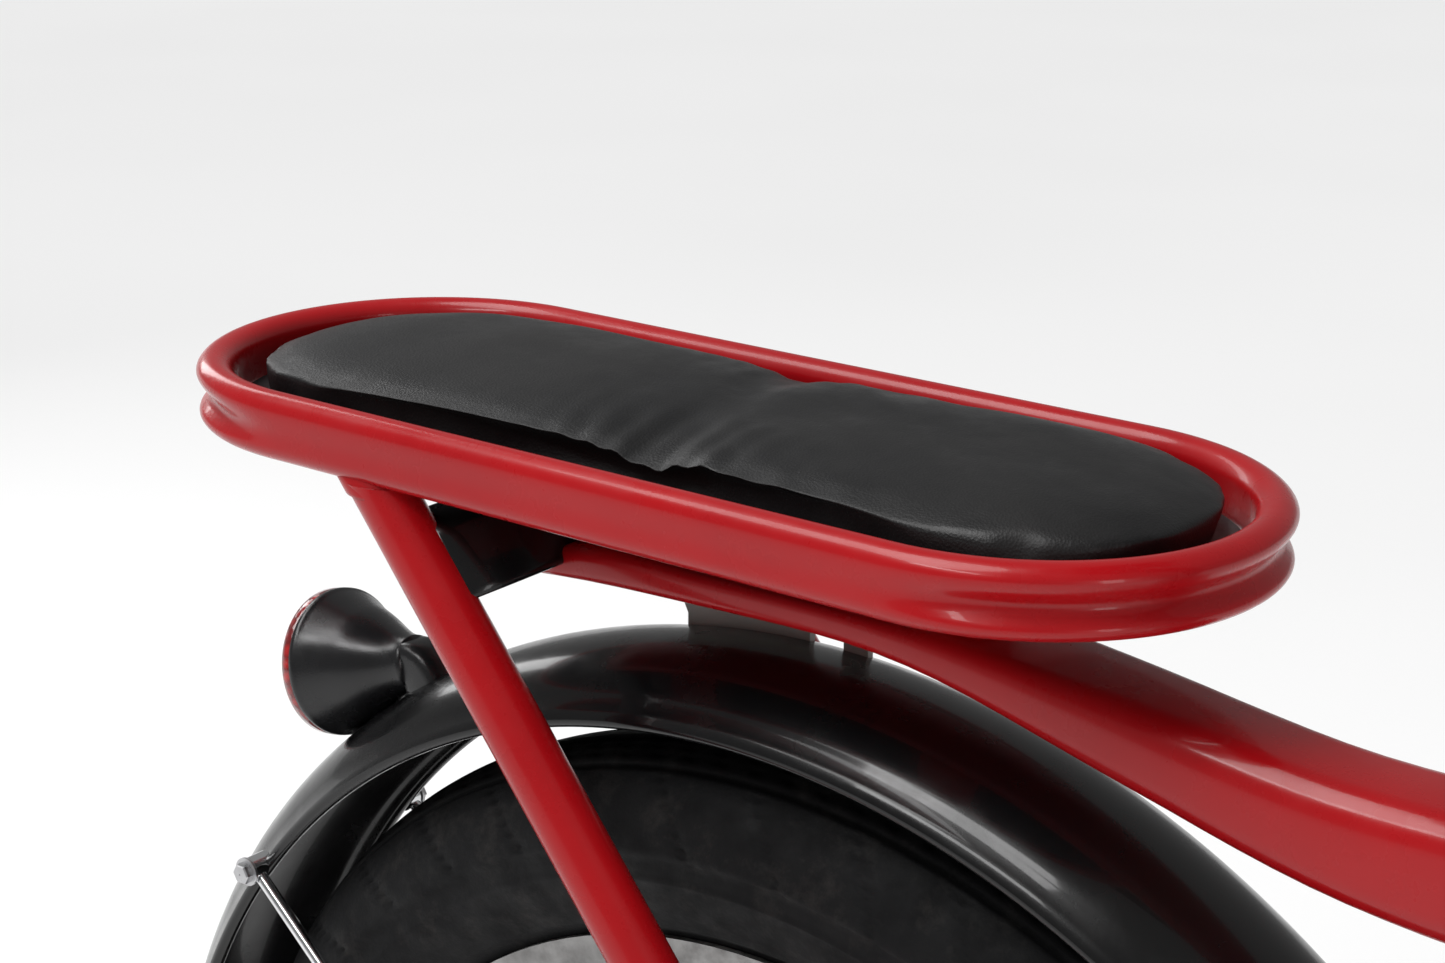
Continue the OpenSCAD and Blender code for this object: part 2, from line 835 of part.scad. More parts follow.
module stand_bracket() {
    color(BLACK) place() {
        for (side = [-1, 1]) difference() {
            slab(side * stand_ear_y, side * (stand_ear_y + stand_ear_t)) {
                translate([stand_x, stand_z]) circle(r = 11);
                translate([stand_x - 11, stand_z]) square([22, bb_z - stand_z - 4]);
            }
            chainstay_bar(side, stay_r);
            across(stand_x, stand_z, pivot_r + 0.02, -200, 200);
        }
        bolt_y = eye_out + eye_t + pass_gap;
        across(stand_x, stand_z, pivot_r, -bolt_y - 4, bolt_y + 4);
        for (side = [-1, 1])
            across(stand_x, stand_z, 9, side * bolt_y, side * (bolt_y + 4));
    }
}

module stand_legs() {
    color(BLACK) place() difference() {
        union() {
            for (side = [-1, 1]) {
                eye_mid = side * (eye_out + eye_t / 2);
                elbow = [stand_x + 3, eye_mid, stand_elbow_z];
                foot = [foot_x, side * foot_y, foot_h - 1];
                across(stand_x, stand_z, 12, side * eye_out, side * (eye_out + eye_t));
                rod([stand_x, eye_mid, stand_z - 8], elbow, leg_r);
                translate(elbow) sphere(r = 6.5);
                rod(elbow, foot, leg_r);
                translate([foot_x, side * foot_y, 0]) cylinder(h = foot_h, r = 15);
            }
            across(stand_x + 2, stand_z - 22, 5, -eye_out - 2, eye_out + 2);
        }
        across(stand_x, stand_z, pivot_r + run_gap + 0.01, -200, 200);
    }
}

// Wheels ---------------------------------------------------------------------------

well_r = rim_r - 10.5;
bed_r = rim_r - 5.5;
rim_half = rim_w / 2;
rim_wall = 2.4;
rim_inner_r = rim_r - 20.5;
casing_h = (tyre_r - rim_r + 7.5) / 2;
casing_mid = tyre_r - casing_h;
bead_a = 180 - asin((rim_half - 0.9) / half);
flange_y = 28;
flange_r = 30;
flange_t = 3;
hub_r = 18;
spoke_r = 1.3;
spoke_twist = 40;

function casing_arc(inset) = [
    for (i = [0:48]) let (a = bead_a * (i / 24 - 1))
        [casing_mid + (casing_h - inset) * cos(a), (half - inset) * sin(a)]
];

module tyre_section() {
    bead = rim_half - rim_wall - 0.3;
    polygon(concat(
        casing_arc(0),
        [[rim_r + 1, bead], [bed_r + 0.4, bead], [bed_r + 0.4, bead - 5], [rim_r + 3, bead - 5]],
        reversed(casing_arc(tyre_wall)),
        [[rim_r + 3, 5 - bead], [bed_r + 0.4, 5 - bead], [bed_r + 0.4, -bead], [rim_r + 1, -bead]]
    ));
}

module rim_section() {
    side = [
        [rim_r, rim_half - rim_wall], [rim_r, rim_half], [rim_r - 12.5, rim_half],
        [rim_inner_r, rim_half * 0.47]
    ];
    top = [
        [well_r, 9], [bed_r, 15], [bed_r, rim_half - rim_wall]
    ];
    mirrored_side = [for (p = reversed(side)) [p[0], -p[1]]];
    mirrored_top = [for (p = reversed(top)) [p[0], -p[1]]];
    polygon(concat(side, mirrored_side, mirrored_top, top));
}

module spokes(x) {
    side_gap = 2.4;
    for (i = [0:spoke_count - 1]) {
        side = i % 2 == 0 ? 1 : -1;
        a = i * 360 / spoke_count;
        lean = (i % 4 < 2 ? 1 : -1) * spoke_twist;
        hub_end = [
            x + (flange_r - 4) * cos(a + lean),
            side * (flange_y + flange_t + side_gap),
            axle_z + (flange_r - 4) * sin(a + lean)
        ];
        nipple = [
            x + (rim_inner_r - 0.5) * cos(a), side * 4,
            axle_z + (rim_inner_r - 0.5) * sin(a)
        ];
        rod(hub_end, nipple, spoke_r, $fn = 16);
        rod(lerp(hub_end, nipple, 1 - 14 / norm(nipple - hub_end)), nipple, 2.2, $fn = 16);
    }
}

module hub(x, y_left, y_right) {
    difference() {
        union() {
            across(x, axle_z, hub_r, -y_right, y_left);
            for (side = [-1, 1])
                across(x, axle_z, flange_r, side * flange_y, side * (flange_y + flange_t));
        }
        across(x, axle_z, axle_r + run_gap, -y_right - 1, y_left + 1);
    }
}

module rear_tyre() { color(DARK) place() around_axle(0) tyre_section(); }
module rear_rim() { color(GREY) place() around_axle(0) rim_section(); }
module rear_spokes() { color(STEEL) place() spokes(0); }
module rear_hub() { color(BLACK) place() hub(0, hub_left, hub_right); }
module front_tyre() { color(DARK) place() around_axle(wheelbase) tyre_section(); }
module front_rim() { color(GREY) place() around_axle(wheelbase) rim_section(); }
module front_spokes() { color(STEEL) place() spokes(wheelbase); }
module front_hub() { color(BLACK) place() hub(wheelbase, hub_right, hub_right); }

// Fork and front fender ------------------------------------------------------------

tip_in = fork_y - fork_tip_t / 2;
tip_out = fork_y + fork_tip_t / 2;

// Point on the middle line of a fork blade, from 0 at the axle to 1 inside the crown
function blade_point(t, side) =
    lerp([wheelbase, 0, axle_z], steer_point(crown_s + 4), t) + [0, side * fork_y, 0];

module crown_block() {
    on_steer(crown_s) translate([-20, -fork_y - fork_blade_r, 0])
        cube([40, 2 * (fork_y + fork_blade_r), crown_h]);
}

module fork_crown() {
    color(BLACK) place() {
        crown_block();
        on_steer(crown_s + crown_h) cylinder(h = stem_s - crown_s - crown_h + collar_h, r = steerer_r);
    }
}

module fork_blades() {
    color(BLACK) place() for (side = [-1, 1]) difference() {
        union() {
            rod(blade_point(0.035, side), blade_point(1, side), fork_blade_r);
            across(wheelbase, axle_z, 16, side * tip_in, side * tip_out);
        }
        crown_block();
        for (face = [tip_in - 14, tip_out])
            across(wheelbase, axle_z, 15, side * face, side * (face + 14));
        across(wheelbase, axle_z, axle_r + 0.02, -200, 200);
    }
}

module front_axle() {
    end_y = tip_out + 16;
    color(STEEL) place() {
        axle_bar(wheelbase, end_y);
        for (side = [-1, 1])
            across(wheelbase, axle_z, spacer_r, side * (hub_right + pass_gap), side * tip_in);
        axle_nuts(wheelbase, tip_out);
    }
}

module front_fender() {
    tab_a = 90 + atan2(wheelbase - steer_point(crown_s)[0], steer_point(crown_s)[2] - axle_z);
    color(BLACK) place() {
        around_axle(wheelbase, front_fender_angle, 180 - fender_low_angle) fender_section();
        difference() {
            on_steer(crown_s - 22) translate([-14, -9, 0]) cube([28, 18, 24]);
            crown_block();
            translate([wheelbase, 0, 0]) fender_space(0, tab_a - 20, tab_a + 20);
        }
    }
}

module front_fender_stays() {
    stay_a = 180 - fender_low_angle - 6;
    blade_side = fork_y + fork_blade_r;
    color(STEEL) place() difference() {
        for (side = [-1, 1]) {
            start = blade_point(0.2, side) + [0, side * (fork_blade_r + 4), 0];
            end = wheel_point(stay_end_r, stay_a, side * stay_end_y) + [wheelbase, 0, 0];
            rod(start, end, stay_wire_r);
            across(start[0], start[2], 6, side * blade_side, side * (blade_side + 7));
            stay_end(wheelbase, stay_a, side);
        }
        fender_space(wheelbase, stay_a - 10, stay_a + 10);
    }
}

lamp_r = 34;
lamp_l = 52;
lamp_mid = [steer_point(head_s + 20)[0] + 58, 0, steer_point(head_s + 40)[2] + 24];

module headlight_housing() {
    arm_foot = steer_point(crown_s + crown_h / 2) + [16, 0, 4];
    color(BLACK) place() difference() {
        union() {
            translate(lamp_mid) rotate([0, 90, 0]) {
                cylinder(h = lamp_l, r = lamp_r);
                sphere(r = lamp_r);
            }
            rod(arm_foot, lamp_mid + [24, 0, 0], 7);
        }
        translate(lamp_mid) rotate([0, 90, 0])
            translate([0, 0, 4]) cylinder(h = lamp_l, r = lamp_r - 3);
        crown_block();
    }
}

module headlight_lens() {
    color(LENS_CLEAR) place() translate(lamp_mid + [lamp_l - 6, 0, 0])
        rotate([0, 90, 0]) cylinder(h = 8, r = lamp_r - 3.05);
}

// Stem and handlebar ---------------------------------------------------------------

module stem() {
    bar = steer_point(bar_s);
    color(BLACK) place() difference() {
        union() {
            on_steer(stem_s) cylinder(h = collar_h, r = 19);
            on_steer(stem_s + collar_h) cylinder(h = bar_s - stem_s - collar_h, r = stem_r);
            across(bar[0], bar[2], barrel_r, -28, 28);
        }
        on_steer(stem_s - 1) cylinder(h = collar_h + 1, r = steerer_r + 0.02);
        across(bar[0], bar[2], sleeve_r + 0.02, -30, 30);
    }
}

grip_start = bar_w / 2 - grip_l - 8;
grip_sweep = 70;
// The bends stand a little proud of the straight bars
bend_swell = 0.25;

// Points along the right or left half of the handlebar, out to the grip's end
function bar_points(side) = [
    [0, 0, 0],
    [0, side * sleeve_half, 0],
    [-30, side * (grip_start - 42), bar_rise - 12],
    [-42, side * (grip_start - 6), bar_rise],
    [-42 - grip_sweep, side * bar_w / 2, bar_rise - 4]
];

module handlebar() {
    color(STEEL) place() translate(steer_point(bar_s)) {
        for (side = [-1, 1]) {
            p = bar_points(side);
            for (i = [1:len(p) - 2]) rod(p[i], p[i + 1], bar_r);
            for (i = [1:len(p) - 2]) translate(p[i]) sphere(r = bar_r + bend_swell);
        }
        across(0, 0, sleeve_r, -sleeve_half, sleeve_half);
    }
}

module grips() {
    color(DARK) place() translate(steer_point(bar_s)) for (side = [-1, 1]) {
        a = bar_points(side)[3];
        b = bar_points(side)[4];
        u = unit(b - a);
        difference() {
            rod(b - grip_l * u, b + 3 * u, 16);
            rod(a - 5 * u, b, bar_r + 0.02);
        }
    }
}

// Cranks and pedals ----------------------------------------------------------------

pedal_axle_r = 6;
pedal_w = 90;
pedal_t = 22;

module crank_spindle() {
    color(STEEL) place() across(bb_x, bb_z, spindle_r, -arm_y - arm_t - 1, arm_y + arm_t + 1);
}

module chainring() {
    boss_r = 24;
    color(STEEL) place() difference() {
        union() {
            translate([bb_x, 0, bb_z])
                slab(-chain_y - sprocket_t / 2, -chain_y + sprocket_t / 2)
                    polygon(tooth_outline(ring_teeth, ring_r));
            across(bb_x, bb_z, boss_r, -arm_y, -chain_y + sprocket_t / 2);
        }
        across(bb_x, bb_z, spindle_r + 0.02, -arm_y - 1, -chain_y + 5);
        for (a = [36:72:359])
            across(bb_x + ring_r * 0.6 * cos(a), bb_z + ring_r * 0.6 * sin(a),
                   ring_r * 0.22, -chain_y - 6, -chain_y + 6);
    }
}

// The arm on one side; it points forward on the right and back on the left
module crank_arm(side) {
    reach = -side * crank_l;
    y0 = side * arm_y;
    y1 = side * (arm_y + arm_t);
    color(STEEL) place() difference() {
        union() {
            across(bb_x, bb_z, 18, y0, y1);
            across(bb_x + reach, bb_z, 14, y0, y1);
            translate([bb_x, 0, bb_z]) slab(y0, y1)
                polygon([[0, -13], [reach, -10], [reach, 10], [0, 13]]);
        }
        across(bb_x, bb_z, spindle_r + 0.02, y0 - side, y1 + side);
        across(bb_x + reach, bb_z, pedal_axle_r + 0.02, y0 - side, y1 + side);
    }
}

module crank_arm_left() { crank_arm(1); }
module crank_arm_right() { crank_arm(-1); }

module pedal_axles() {
    color(STEEL) place() for (side = [-1, 1]) {
        x = bb_x - side * crank_l;
        across(x, bb_z, pedal_axle_r, side * (arm_y + 1), side * (pedal_y + pedal_l - 6));
        across(x, bb_z, 9, side * (arm_y + arm_t), side * (pedal_y - pass_gap));
    }
}

module pedal(side) {
    x = bb_x - side * crank_l;
    color(DARK) place() difference() {
        union() {
            across(x, bb_z, 12, side * pedal_y, side * (pedal_y + pedal_l));
            translate([x, 0, bb_z]) slab(side * pedal_y, side * (pedal_y + pedal_l))
                polygon([
                    [-pedal_w / 2, -8], [-pedal_w / 2 + 8, -pedal_t / 2],
                    [pedal_w / 2 - 8, -pedal_t / 2], [pedal_w / 2, -8],
                    [pedal_w / 2, 8], [pedal_w / 2 - 8, pedal_t / 2],
                    [-pedal_w / 2 + 8, pedal_t / 2], [-pedal_w / 2, 8]
                ]);
        }
        across(x, bb_z, pedal_axle_r + run_gap + 0.01, side * (pedal_y - 1), side * (pedal_y + pedal_l - 5));
        for (end = [-1, 1]) translate([x + end * 25, 0, bb_z])
            translate([-9, min(side * (pedal_y + 12), side * (pedal_y + pedal_l - 12)), -20])
                cube([18, pedal_l - 24, 40]);
    }
}

module pedal_left() { pedal(1); }
module pedal_right() { pedal(-1); }

// Seat post and saddle -------------------------------------------------------------

rail_s = (rail_z - bb_z) / sin(seat_angle);
rail_r = 3.5;
rail_y = 22;
saddle_x = seat_point(rail_s)[0];
saddle_base_z = rail_z + 14;
saddle_base_t = 6;
saddle_h = 42;
post_insert = 190;

module seat_post() {
    color(BLACK) place() on_seat(seat_s - post_insert)
        cylinder(h = rail_s - seat_s + post_insert - 16, r = post_r);
}

module saddle_frame() {
    rail_half = 62;
    color(STEEL) place() {
        for (side = [-1, 1]) {
            a = [saddle_x - rail_half, side * rail_y, rail_z];
            b = [saddle_x + rail_half, side * rail_y, rail_z];
            rod(a, b, rail_r);
            for (end = [a, b]) {
                rod(end, [end[0], end[1], saddle_base_z], rail_r);
                translate(end) sphere(r = rail_r);
            }
        }
        difference() {
            translate([saddle_x - 18, -rail_y - 7, rail_z - 16]) cube([36, 2 * rail_y + 14, 24]);
            on_seat(seat_s - post_insert)
                cylinder(h = rail_s - seat_s + post_insert - 16, r = post_r + 0.02);
        }
    }
}

// Half width of the saddle at the share t of its length from the rear
function saddle_half(t) =
    saddle_w / 2 * (0.2 + 0.8 * pow(max(0, cos(min(90, 128 * max(t - 0.12, 0)))), 1.3))
    * sqrt(max(0.001, 1 - pow(max(0, 1 - t / 0.14), 2)))
    * sqrt(max(0.001, 1 - pow(max(0, (t - 0.93) / 0.07), 2)));

module saddle_outline(inset) {
    n = 40;
    side = [for (i = [0:n]) [(i / n - 0.48) * (saddle_l - 2 * inset), saddle_half(i / n) - inset]];
    kept = [for (p = side) if (p[1] > 1) p];
    polygon(concat(kept, [for (p = reversed(kept)) [p[0], -p[1]]]));
}

module saddle_base() {
    color(BLACK) place() translate([saddle_x, 0, saddle_base_z])
        linear_extrude(saddle_base_t) saddle_outline(4);
}

module saddle() {
    lower = saddle_h * 0.7;
    color(DARK) place() translate([saddle_x, 0, saddle_base_z + saddle_base_t]) {
        linear_extrude(lower) saddle_outline(0);
        translate([0, 0, lower]) linear_extrude(saddle_h - lower) saddle_outline(9);
    }
}

main_beam();
head_tube();
seat_tube();
bb_shell();
chainstay_left();
chainstay_right();
dropouts();
strut_left();
strut_right();
cross_member();
seat_hoop();
seat_straps();
pad_base();
passenger_pad();
rear_fender();
rear_fender_brackets();
rear_fender_stays();
tail_light_housing();
tail_light_lens();
headset_cups();
bb_cups();
seat_clamp();
chain();
brake_arm();
rear_axle();
rear_axle_nuts();
stand_bracket();
rear_tyre();
rear_rim();
rear_spokes();
rear_hub();
rear_sprocket();
front_tyre();
front_rim();
front_spokes();
front_hub();
fork_crown();
fork_blades();
front_axle();
front_fender();
front_fender_stays();
headlight_housing();
headlight_lens();
stem();
handlebar();
grips();
crank_spindle();
chainring();
crank_arm_left();
crank_arm_right();
pedal_axles();
pedal_left();
pedal_right();
stand_legs();
seat_post();
saddle_frame();
saddle_base();
saddle();
clamp_lever();
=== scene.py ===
"""Looks of the step-through bicycle with a passenger seat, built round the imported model.

All lengths are metres in the frame's own axes: +X forward, +Y to the rider's left, +Z up.
"""

import json
import math

import bmesh
import bpy
from mathutils import Matrix, Vector, noise
from mathutils.bvhtree import BVHTree


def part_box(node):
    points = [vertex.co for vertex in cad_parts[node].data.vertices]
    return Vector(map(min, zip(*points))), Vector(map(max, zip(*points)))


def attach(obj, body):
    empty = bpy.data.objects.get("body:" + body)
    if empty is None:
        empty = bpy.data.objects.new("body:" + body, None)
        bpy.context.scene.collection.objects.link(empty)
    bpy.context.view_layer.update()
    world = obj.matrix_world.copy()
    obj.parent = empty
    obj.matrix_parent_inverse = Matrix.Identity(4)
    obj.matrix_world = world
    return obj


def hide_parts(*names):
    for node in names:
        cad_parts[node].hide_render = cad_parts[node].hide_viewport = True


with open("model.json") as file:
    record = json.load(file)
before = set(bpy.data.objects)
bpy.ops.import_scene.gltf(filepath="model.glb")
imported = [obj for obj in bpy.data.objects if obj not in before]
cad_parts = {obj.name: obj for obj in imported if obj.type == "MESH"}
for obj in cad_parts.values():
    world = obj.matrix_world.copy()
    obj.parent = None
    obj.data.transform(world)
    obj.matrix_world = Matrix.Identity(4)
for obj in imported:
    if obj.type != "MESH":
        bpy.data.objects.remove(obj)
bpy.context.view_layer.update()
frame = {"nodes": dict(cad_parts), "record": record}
NODES = frame["nodes"]
MM = 0.001


# Places taken from the frame --------------------------------------------------------

def middle(node):
    """Middle of a CAD node's box."""
    low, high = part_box(node)
    return (Vector(low) + Vector(high)) / 2


def size_of(node):
    """Size of a CAD node's box along X, Y and Z."""
    low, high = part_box(node)
    return Vector(high) - Vector(low)


REAR = middle("rear_tyre")
FRONT = middle("front_tyre")
TYRE_R = size_of("rear_tyre").z / 2
TYRE_HALF = size_of("rear_tyre").y / 2
RIM_R = size_of("rear_rim").z / 2
RIM_HALF = size_of("rear_rim").y / 2
FENDER_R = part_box("rear_fender")[1][2] - REAR.z
FENDER_HALF = size_of("rear_fender").y / 2
FENDER_DEPTH = 24 * MM
HOOP = middle("seat_hoop")
HOOP_HALF_L = size_of("seat_hoop").x / 2
HOOP_HALF_W = size_of("seat_hoop").y / 2
HOOP_H = size_of("seat_hoop").z
HOOP_TUBE_W = 13 * MM
HOOP_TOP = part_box("seat_hoop")[1][2]


# Mesh helpers -----------------------------------------------------------------------

def finish_piece(obj, material, body, replaces=(), smooth=True, levels=0):
    """Gives a piece its material, shading, body and the CAD nodes that it stands for."""
    obj.data.materials.clear()
    obj.data.materials.append(material)
    if smooth:
        for face in obj.data.polygons:
            face.use_smooth = True
    if levels:
        subdivide = obj.modifiers.new("Subdivision", "SUBSURF")
        subdivide.levels = levels
        subdivide.render_levels = levels
    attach(obj, body)
    if replaces:
        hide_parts(*replaces)
    return obj


def mesh_object(name, verts, faces):
    """A new object from vertices and faces, with its normals turned outward."""
    mesh = bpy.data.meshes.new(name)
    mesh.from_pydata([tuple(v) for v in verts], [], faces)
    work = bmesh.new()
    work.from_mesh(mesh)
    bmesh.ops.remove_doubles(work, verts=work.verts, dist=1e-6)
    bmesh.ops.recalc_face_normals(work, faces=work.faces)
    work.to_mesh(mesh)
    work.free()
    obj = bpy.data.objects.new(name, mesh)
    bpy.context.scene.collection.objects.link(obj)
    return obj


def skin(rings, closed=False, caps=True):
    """Vertices and faces of a tube through rings that have the same number of points."""
    count = len(rings[0])
    verts = [point for ring in rings for point in ring]
    faces = []
    spans = len(rings) if closed else len(rings) - 1
    for i in range(spans):
        a = i * count
        b = ((i + 1) % len(rings)) * count
        for j in range(count):
            k = (j + 1) % count
            faces.append((a + j, a + k, b + k, b + j))
    if caps and not closed:
        faces.append(tuple(range(count - 1, -1, -1)))
        last = (len(rings) - 1) * count
        faces.append(tuple(range(last, last + count)))
    return verts, faces


def circle_points(radius, count, turn=0.0):
    """Points on a circle about the origin."""
    return [
        (radius * math.cos(turn + 2 * math.pi * i / count),
         radius * math.sin(turn + 2 * math.pi * i / count))
        for i in range(count)
    ]


def rounded_box_points(width, height, radius, per_corner=5):
    """Outline of a rectangle with round corners, counter-clockwise from its right side."""
    points = []
    corners = [(1, 1, 0), (-1, 1, 90), (-1, -1, 180), (1, -1, 270)]
    for sx, sy, start in corners:
        cx = sx * (width / 2 - radius)
        cy = sy * (height / 2 - radius)
        for i in range(per_corner + 1):
            angle = math.radians(start + 90 * i / per_corner)
            points.append((cx + radius * math.cos(angle), cy + radius * math.sin(angle)))
    return points


def sweep(path, section, up=Vector((0, 0, 1)), closed=False, caps=True, scale=None):
    """A section carried along a path; the section's second axis stays near up."""
    rings = []
    count = len(path)
    for i, point in enumerate(path):
        before = path[(i - 1) % count] if closed else path[max(i - 1, 0)]
        after = path[(i + 1) % count] if closed else path[min(i + 1, count - 1)]
        along = (Vector(after) - Vector(before)).normalized()
        side = along.cross(up).normalized()
        top = side.cross(along).normalized()
        grow = scale(i / max(count - 1, 1)) if scale else 1.0
        rings.append([Vector(point) + side * (u * grow) + top * (v * grow) for u, v in section])
    return skin(rings, closed, caps)


def turned(profile, centre, axis, count=96, start=0.0, end=360.0):
    """A profile of (radius, distance along the axis) turned about a line."""
    axis = Vector(axis).normalized()
    helper = Vector((1, 0, 0)) if abs(axis.x) < 0.9 else Vector((0, 0, 1))
    u = (helper - axis * helper.dot(axis)).normalized()
    v = axis.cross(u)
    full = abs(end - start) >= 359.99
    steps = count if full else count + 1
    rings = []
    for i in range(steps):
        angle = math.radians(start + (end - start) * i / count)
        radial = u * math.cos(angle) + v * math.sin(angle)
        rings.append([Vector(centre) + radial * r + axis * h for r, h in profile])
    return skin(rings, closed=full, caps=not full)


def smooth_step(x):
    """0 below 0, 1 above 1, and a soft change between."""
    x = min(max(x, 0.0), 1.0)
    return x * x * (3 - 2 * x)


def resample(points, count):
    """The same line with evenly spaced points."""
    lengths = [0.0]
    for a, b in zip(points, points[1:]):
        lengths.append(lengths[-1] + (Vector(b) - Vector(a)).length)
    out = []
    j = 0
    for i in range(count):
        want = lengths[-1] * i / (count - 1)
        while j < len(points) - 2 and lengths[j + 1] < want:
            j += 1
        span = max(lengths[j + 1] - lengths[j], 1e-9)
        out.append(Vector(points[j]).lerp(Vector(points[j + 1]), (want - lengths[j]) / span))
    return out


# Materials --------------------------------------------------------------------------

class Finish:
    """A node material with helpers for its colour, roughness and bump."""

    def __init__(self, name, color, rough, metal=0.0, coat=0.0, coat_rough=0.05, specular=0.5):
        self.mat = bpy.data.materials.new(name)
        self.mat.use_nodes = True
        self.nodes = self.mat.node_tree.nodes
        self.links = self.mat.node_tree.links
        self.bsdf = self.nodes["Principled BSDF"]
        self.bsdf.inputs["Base Color"].default_value = (*color, 1)
        self.bsdf.inputs["Roughness"].default_value = rough
        self.bsdf.inputs["Metallic"].default_value = metal
        self.bsdf.inputs["Coat Weight"].default_value = coat
        self.bsdf.inputs["Coat Roughness"].default_value = coat_rough
        self.bsdf.inputs["Specular IOR Level"].default_value = specular
        self.coords = self.nodes.new("ShaderNodeTexCoord").outputs["Object"]
        self.normal = None

    def noise(self, scale, detail=3.0, roughness=0.5, vector=None):
        node = self.nodes.new("ShaderNodeTexNoise")
        node.inputs["Scale"].default_value = scale
        node.inputs["Detail"].default_value = detail
        node.inputs["Roughness"].default_value = roughness
        self.links.new(vector or self.coords, node.inputs["Vector"])
        return node.outputs["Fac"]

    def cells(self, scale, feature="F1", vector=None):
        node = self.nodes.new("ShaderNodeTexVoronoi")
        node.feature = feature
        node.inputs["Scale"].default_value = scale
        self.links.new(vector or self.coords, node.inputs["Vector"])
        return node.outputs["Distance"]

    def ranged(self, value, low, high, to_low=0.0, to_high=1.0):
        node = self.nodes.new("ShaderNodeMapRange")
        node.inputs["From Min"].default_value = low
        node.inputs["From Max"].default_value = high
        node.inputs["To Min"].default_value = to_low
        node.inputs["To Max"].default_value = to_high
        self.links.new(value, node.inputs["Value"])
        return node.outputs["Result"]

    def tint(self, factor, color_a, color_b):
        """Base colour going from one colour to another with a factor."""
        node = self.nodes.new("ShaderNodeMix")
        node.data_type = "RGBA"
        self.links.new(factor, node.inputs["Factor"])
        node.inputs[6].default_value = (*color_a, 1)
        node.inputs[7].default_value = (*color_b, 1)
        self.links.new(node.outputs[2], self.bsdf.inputs["Base Color"])
        return node

    def roughen(self, value, low, high):
        self.links.new(self.ranged(value, 0.3, 0.7, low, high), self.bsdf.inputs["Roughness"])

    def bump(self, height, strength, distance):
        node = self.nodes.new("ShaderNodeBump")
        node.inputs["Strength"].default_value = strength
        node.inputs["Distance"].default_value = distance
        self.links.new(height, node.inputs["Height"])
        if self.normal:
            self.links.new(self.normal, node.inputs["Normal"])
        self.normal = node.outputs["Normal"]
        self.links.new(self.normal, self.bsdf.inputs["Normal"])


def gloss_paint(name, color, dull_color, rough, coat):
    """Sprayed paint: a faint orange peel, dull patches and fine scuffs."""
    f = Finish(name, color, rough, coat=coat, coat_rough=0.06, specular=0.25)
    dull = f.noise(9, 5, 0.6)
    f.tint(f.ranged(dull, 0.42, 0.75), color, dull_color)
    f.roughen(f.noise(38, 4, 0.65), rough * 0.8, rough * 1.6)
    f.bump(f.noise(420, 2, 0.5), 0.05, 0.0004)
    return f.mat


def red_paint():
    return gloss_paint("red_paint", (0.40, 0.004, 0.007), (0.33, 0.004, 0.007), 0.24, 0.22)


def black_paint():
    return gloss_paint("black_paint", (0.004, 0.004, 0.0045), (0.008, 0.0075, 0.007), 0.2, 0.3)


def vinyl():
    """Soft black seat vinyl with a pebbled grain and handling marks."""
    f = Finish("vinyl", (0.006, 0.006, 0.007), 0.42, coat=0.06, coat_rough=0.3, specular=0.3)
    marks = f.ranged(f.noise(14, 6, 0.65), 0.4, 0.72)
    f.tint(marks, (0.004, 0.004, 0.0045), (0.011, 0.0105, 0.0105))
    f.roughen(f.noise(45, 5, 0.6), 0.36, 0.58)
    f.bump(f.noise(26, 4, 0.55), 0.25, 0.0016)
    f.bump(f.cells(1150), 0.22, 0.0004)
    f.bump(f.noise(2600, 2, 0.5), 0.1, 0.0002)
    return f.mat


def tyre_rubber():
    """Tyre rubber with pale dust caught on its sides."""
    f = Finish("tyre_rubber", (0.007, 0.007, 0.0075), 0.72, specular=0.2)
    dust = f.ranged(f.noise(55, 8, 0.75), 0.52, 0.85)
    f.tint(dust, (0.005, 0.005, 0.0055), (0.03, 0.027, 0.025))
    f.roughen(f.noise(60, 4, 0.6), 0.55, 0.86)
    f.bump(f.noise(700, 3, 0.6), 0.28, 0.0006)
    return f.mat


def rubber():
    f = Finish("rubber", (0.013, 0.013, 0.014), 0.7, specular=0.35)
    f.tint(f.ranged(f.noise(70, 5, 0.6), 0.4, 0.75), (0.011, 0.011, 0.012), (0.028, 0.027, 0.026))
    f.roughen(f.noise(120, 3, 0.6), 0.58, 0.8)
    f.bump(f.noise(900, 2, 0.5), 0.2, 0.0004)
    return f.mat


def moulded(name, color, rough):
    """Injection-moulded plastic with a fine spark-eroded grain."""
    f = Finish(name, color, rough)
    f.tint(f.ranged(f.noise(18, 5, 0.6), 0.4, 0.75), color, tuple(c * 1.1 + 0.008 for c in color))
    f.roughen(f.noise(85, 4, 0.6), rough * 0.82, rough * 1.3)
    f.bump(f.noise(1700, 2, 0.5), 0.16, 0.0003)
    return f.mat


def bare_metal(name, color, rough, grain=0.06):
    """Metal with small roughness changes, fingerprints and a slight stain."""
    f = Finish(name, color, rough, metal=1.0)
    f.tint(f.ranged(f.noise(30, 6, 0.65), 0.45, 0.8), color, tuple(c * 0.66 for c in color))
    f.roughen(f.noise(110, 5, 0.65), rough * 0.7, rough * 1.7)
    f.bump(f.noise(1300, 3, 0.6), grain, 0.0003)
    return f.mat


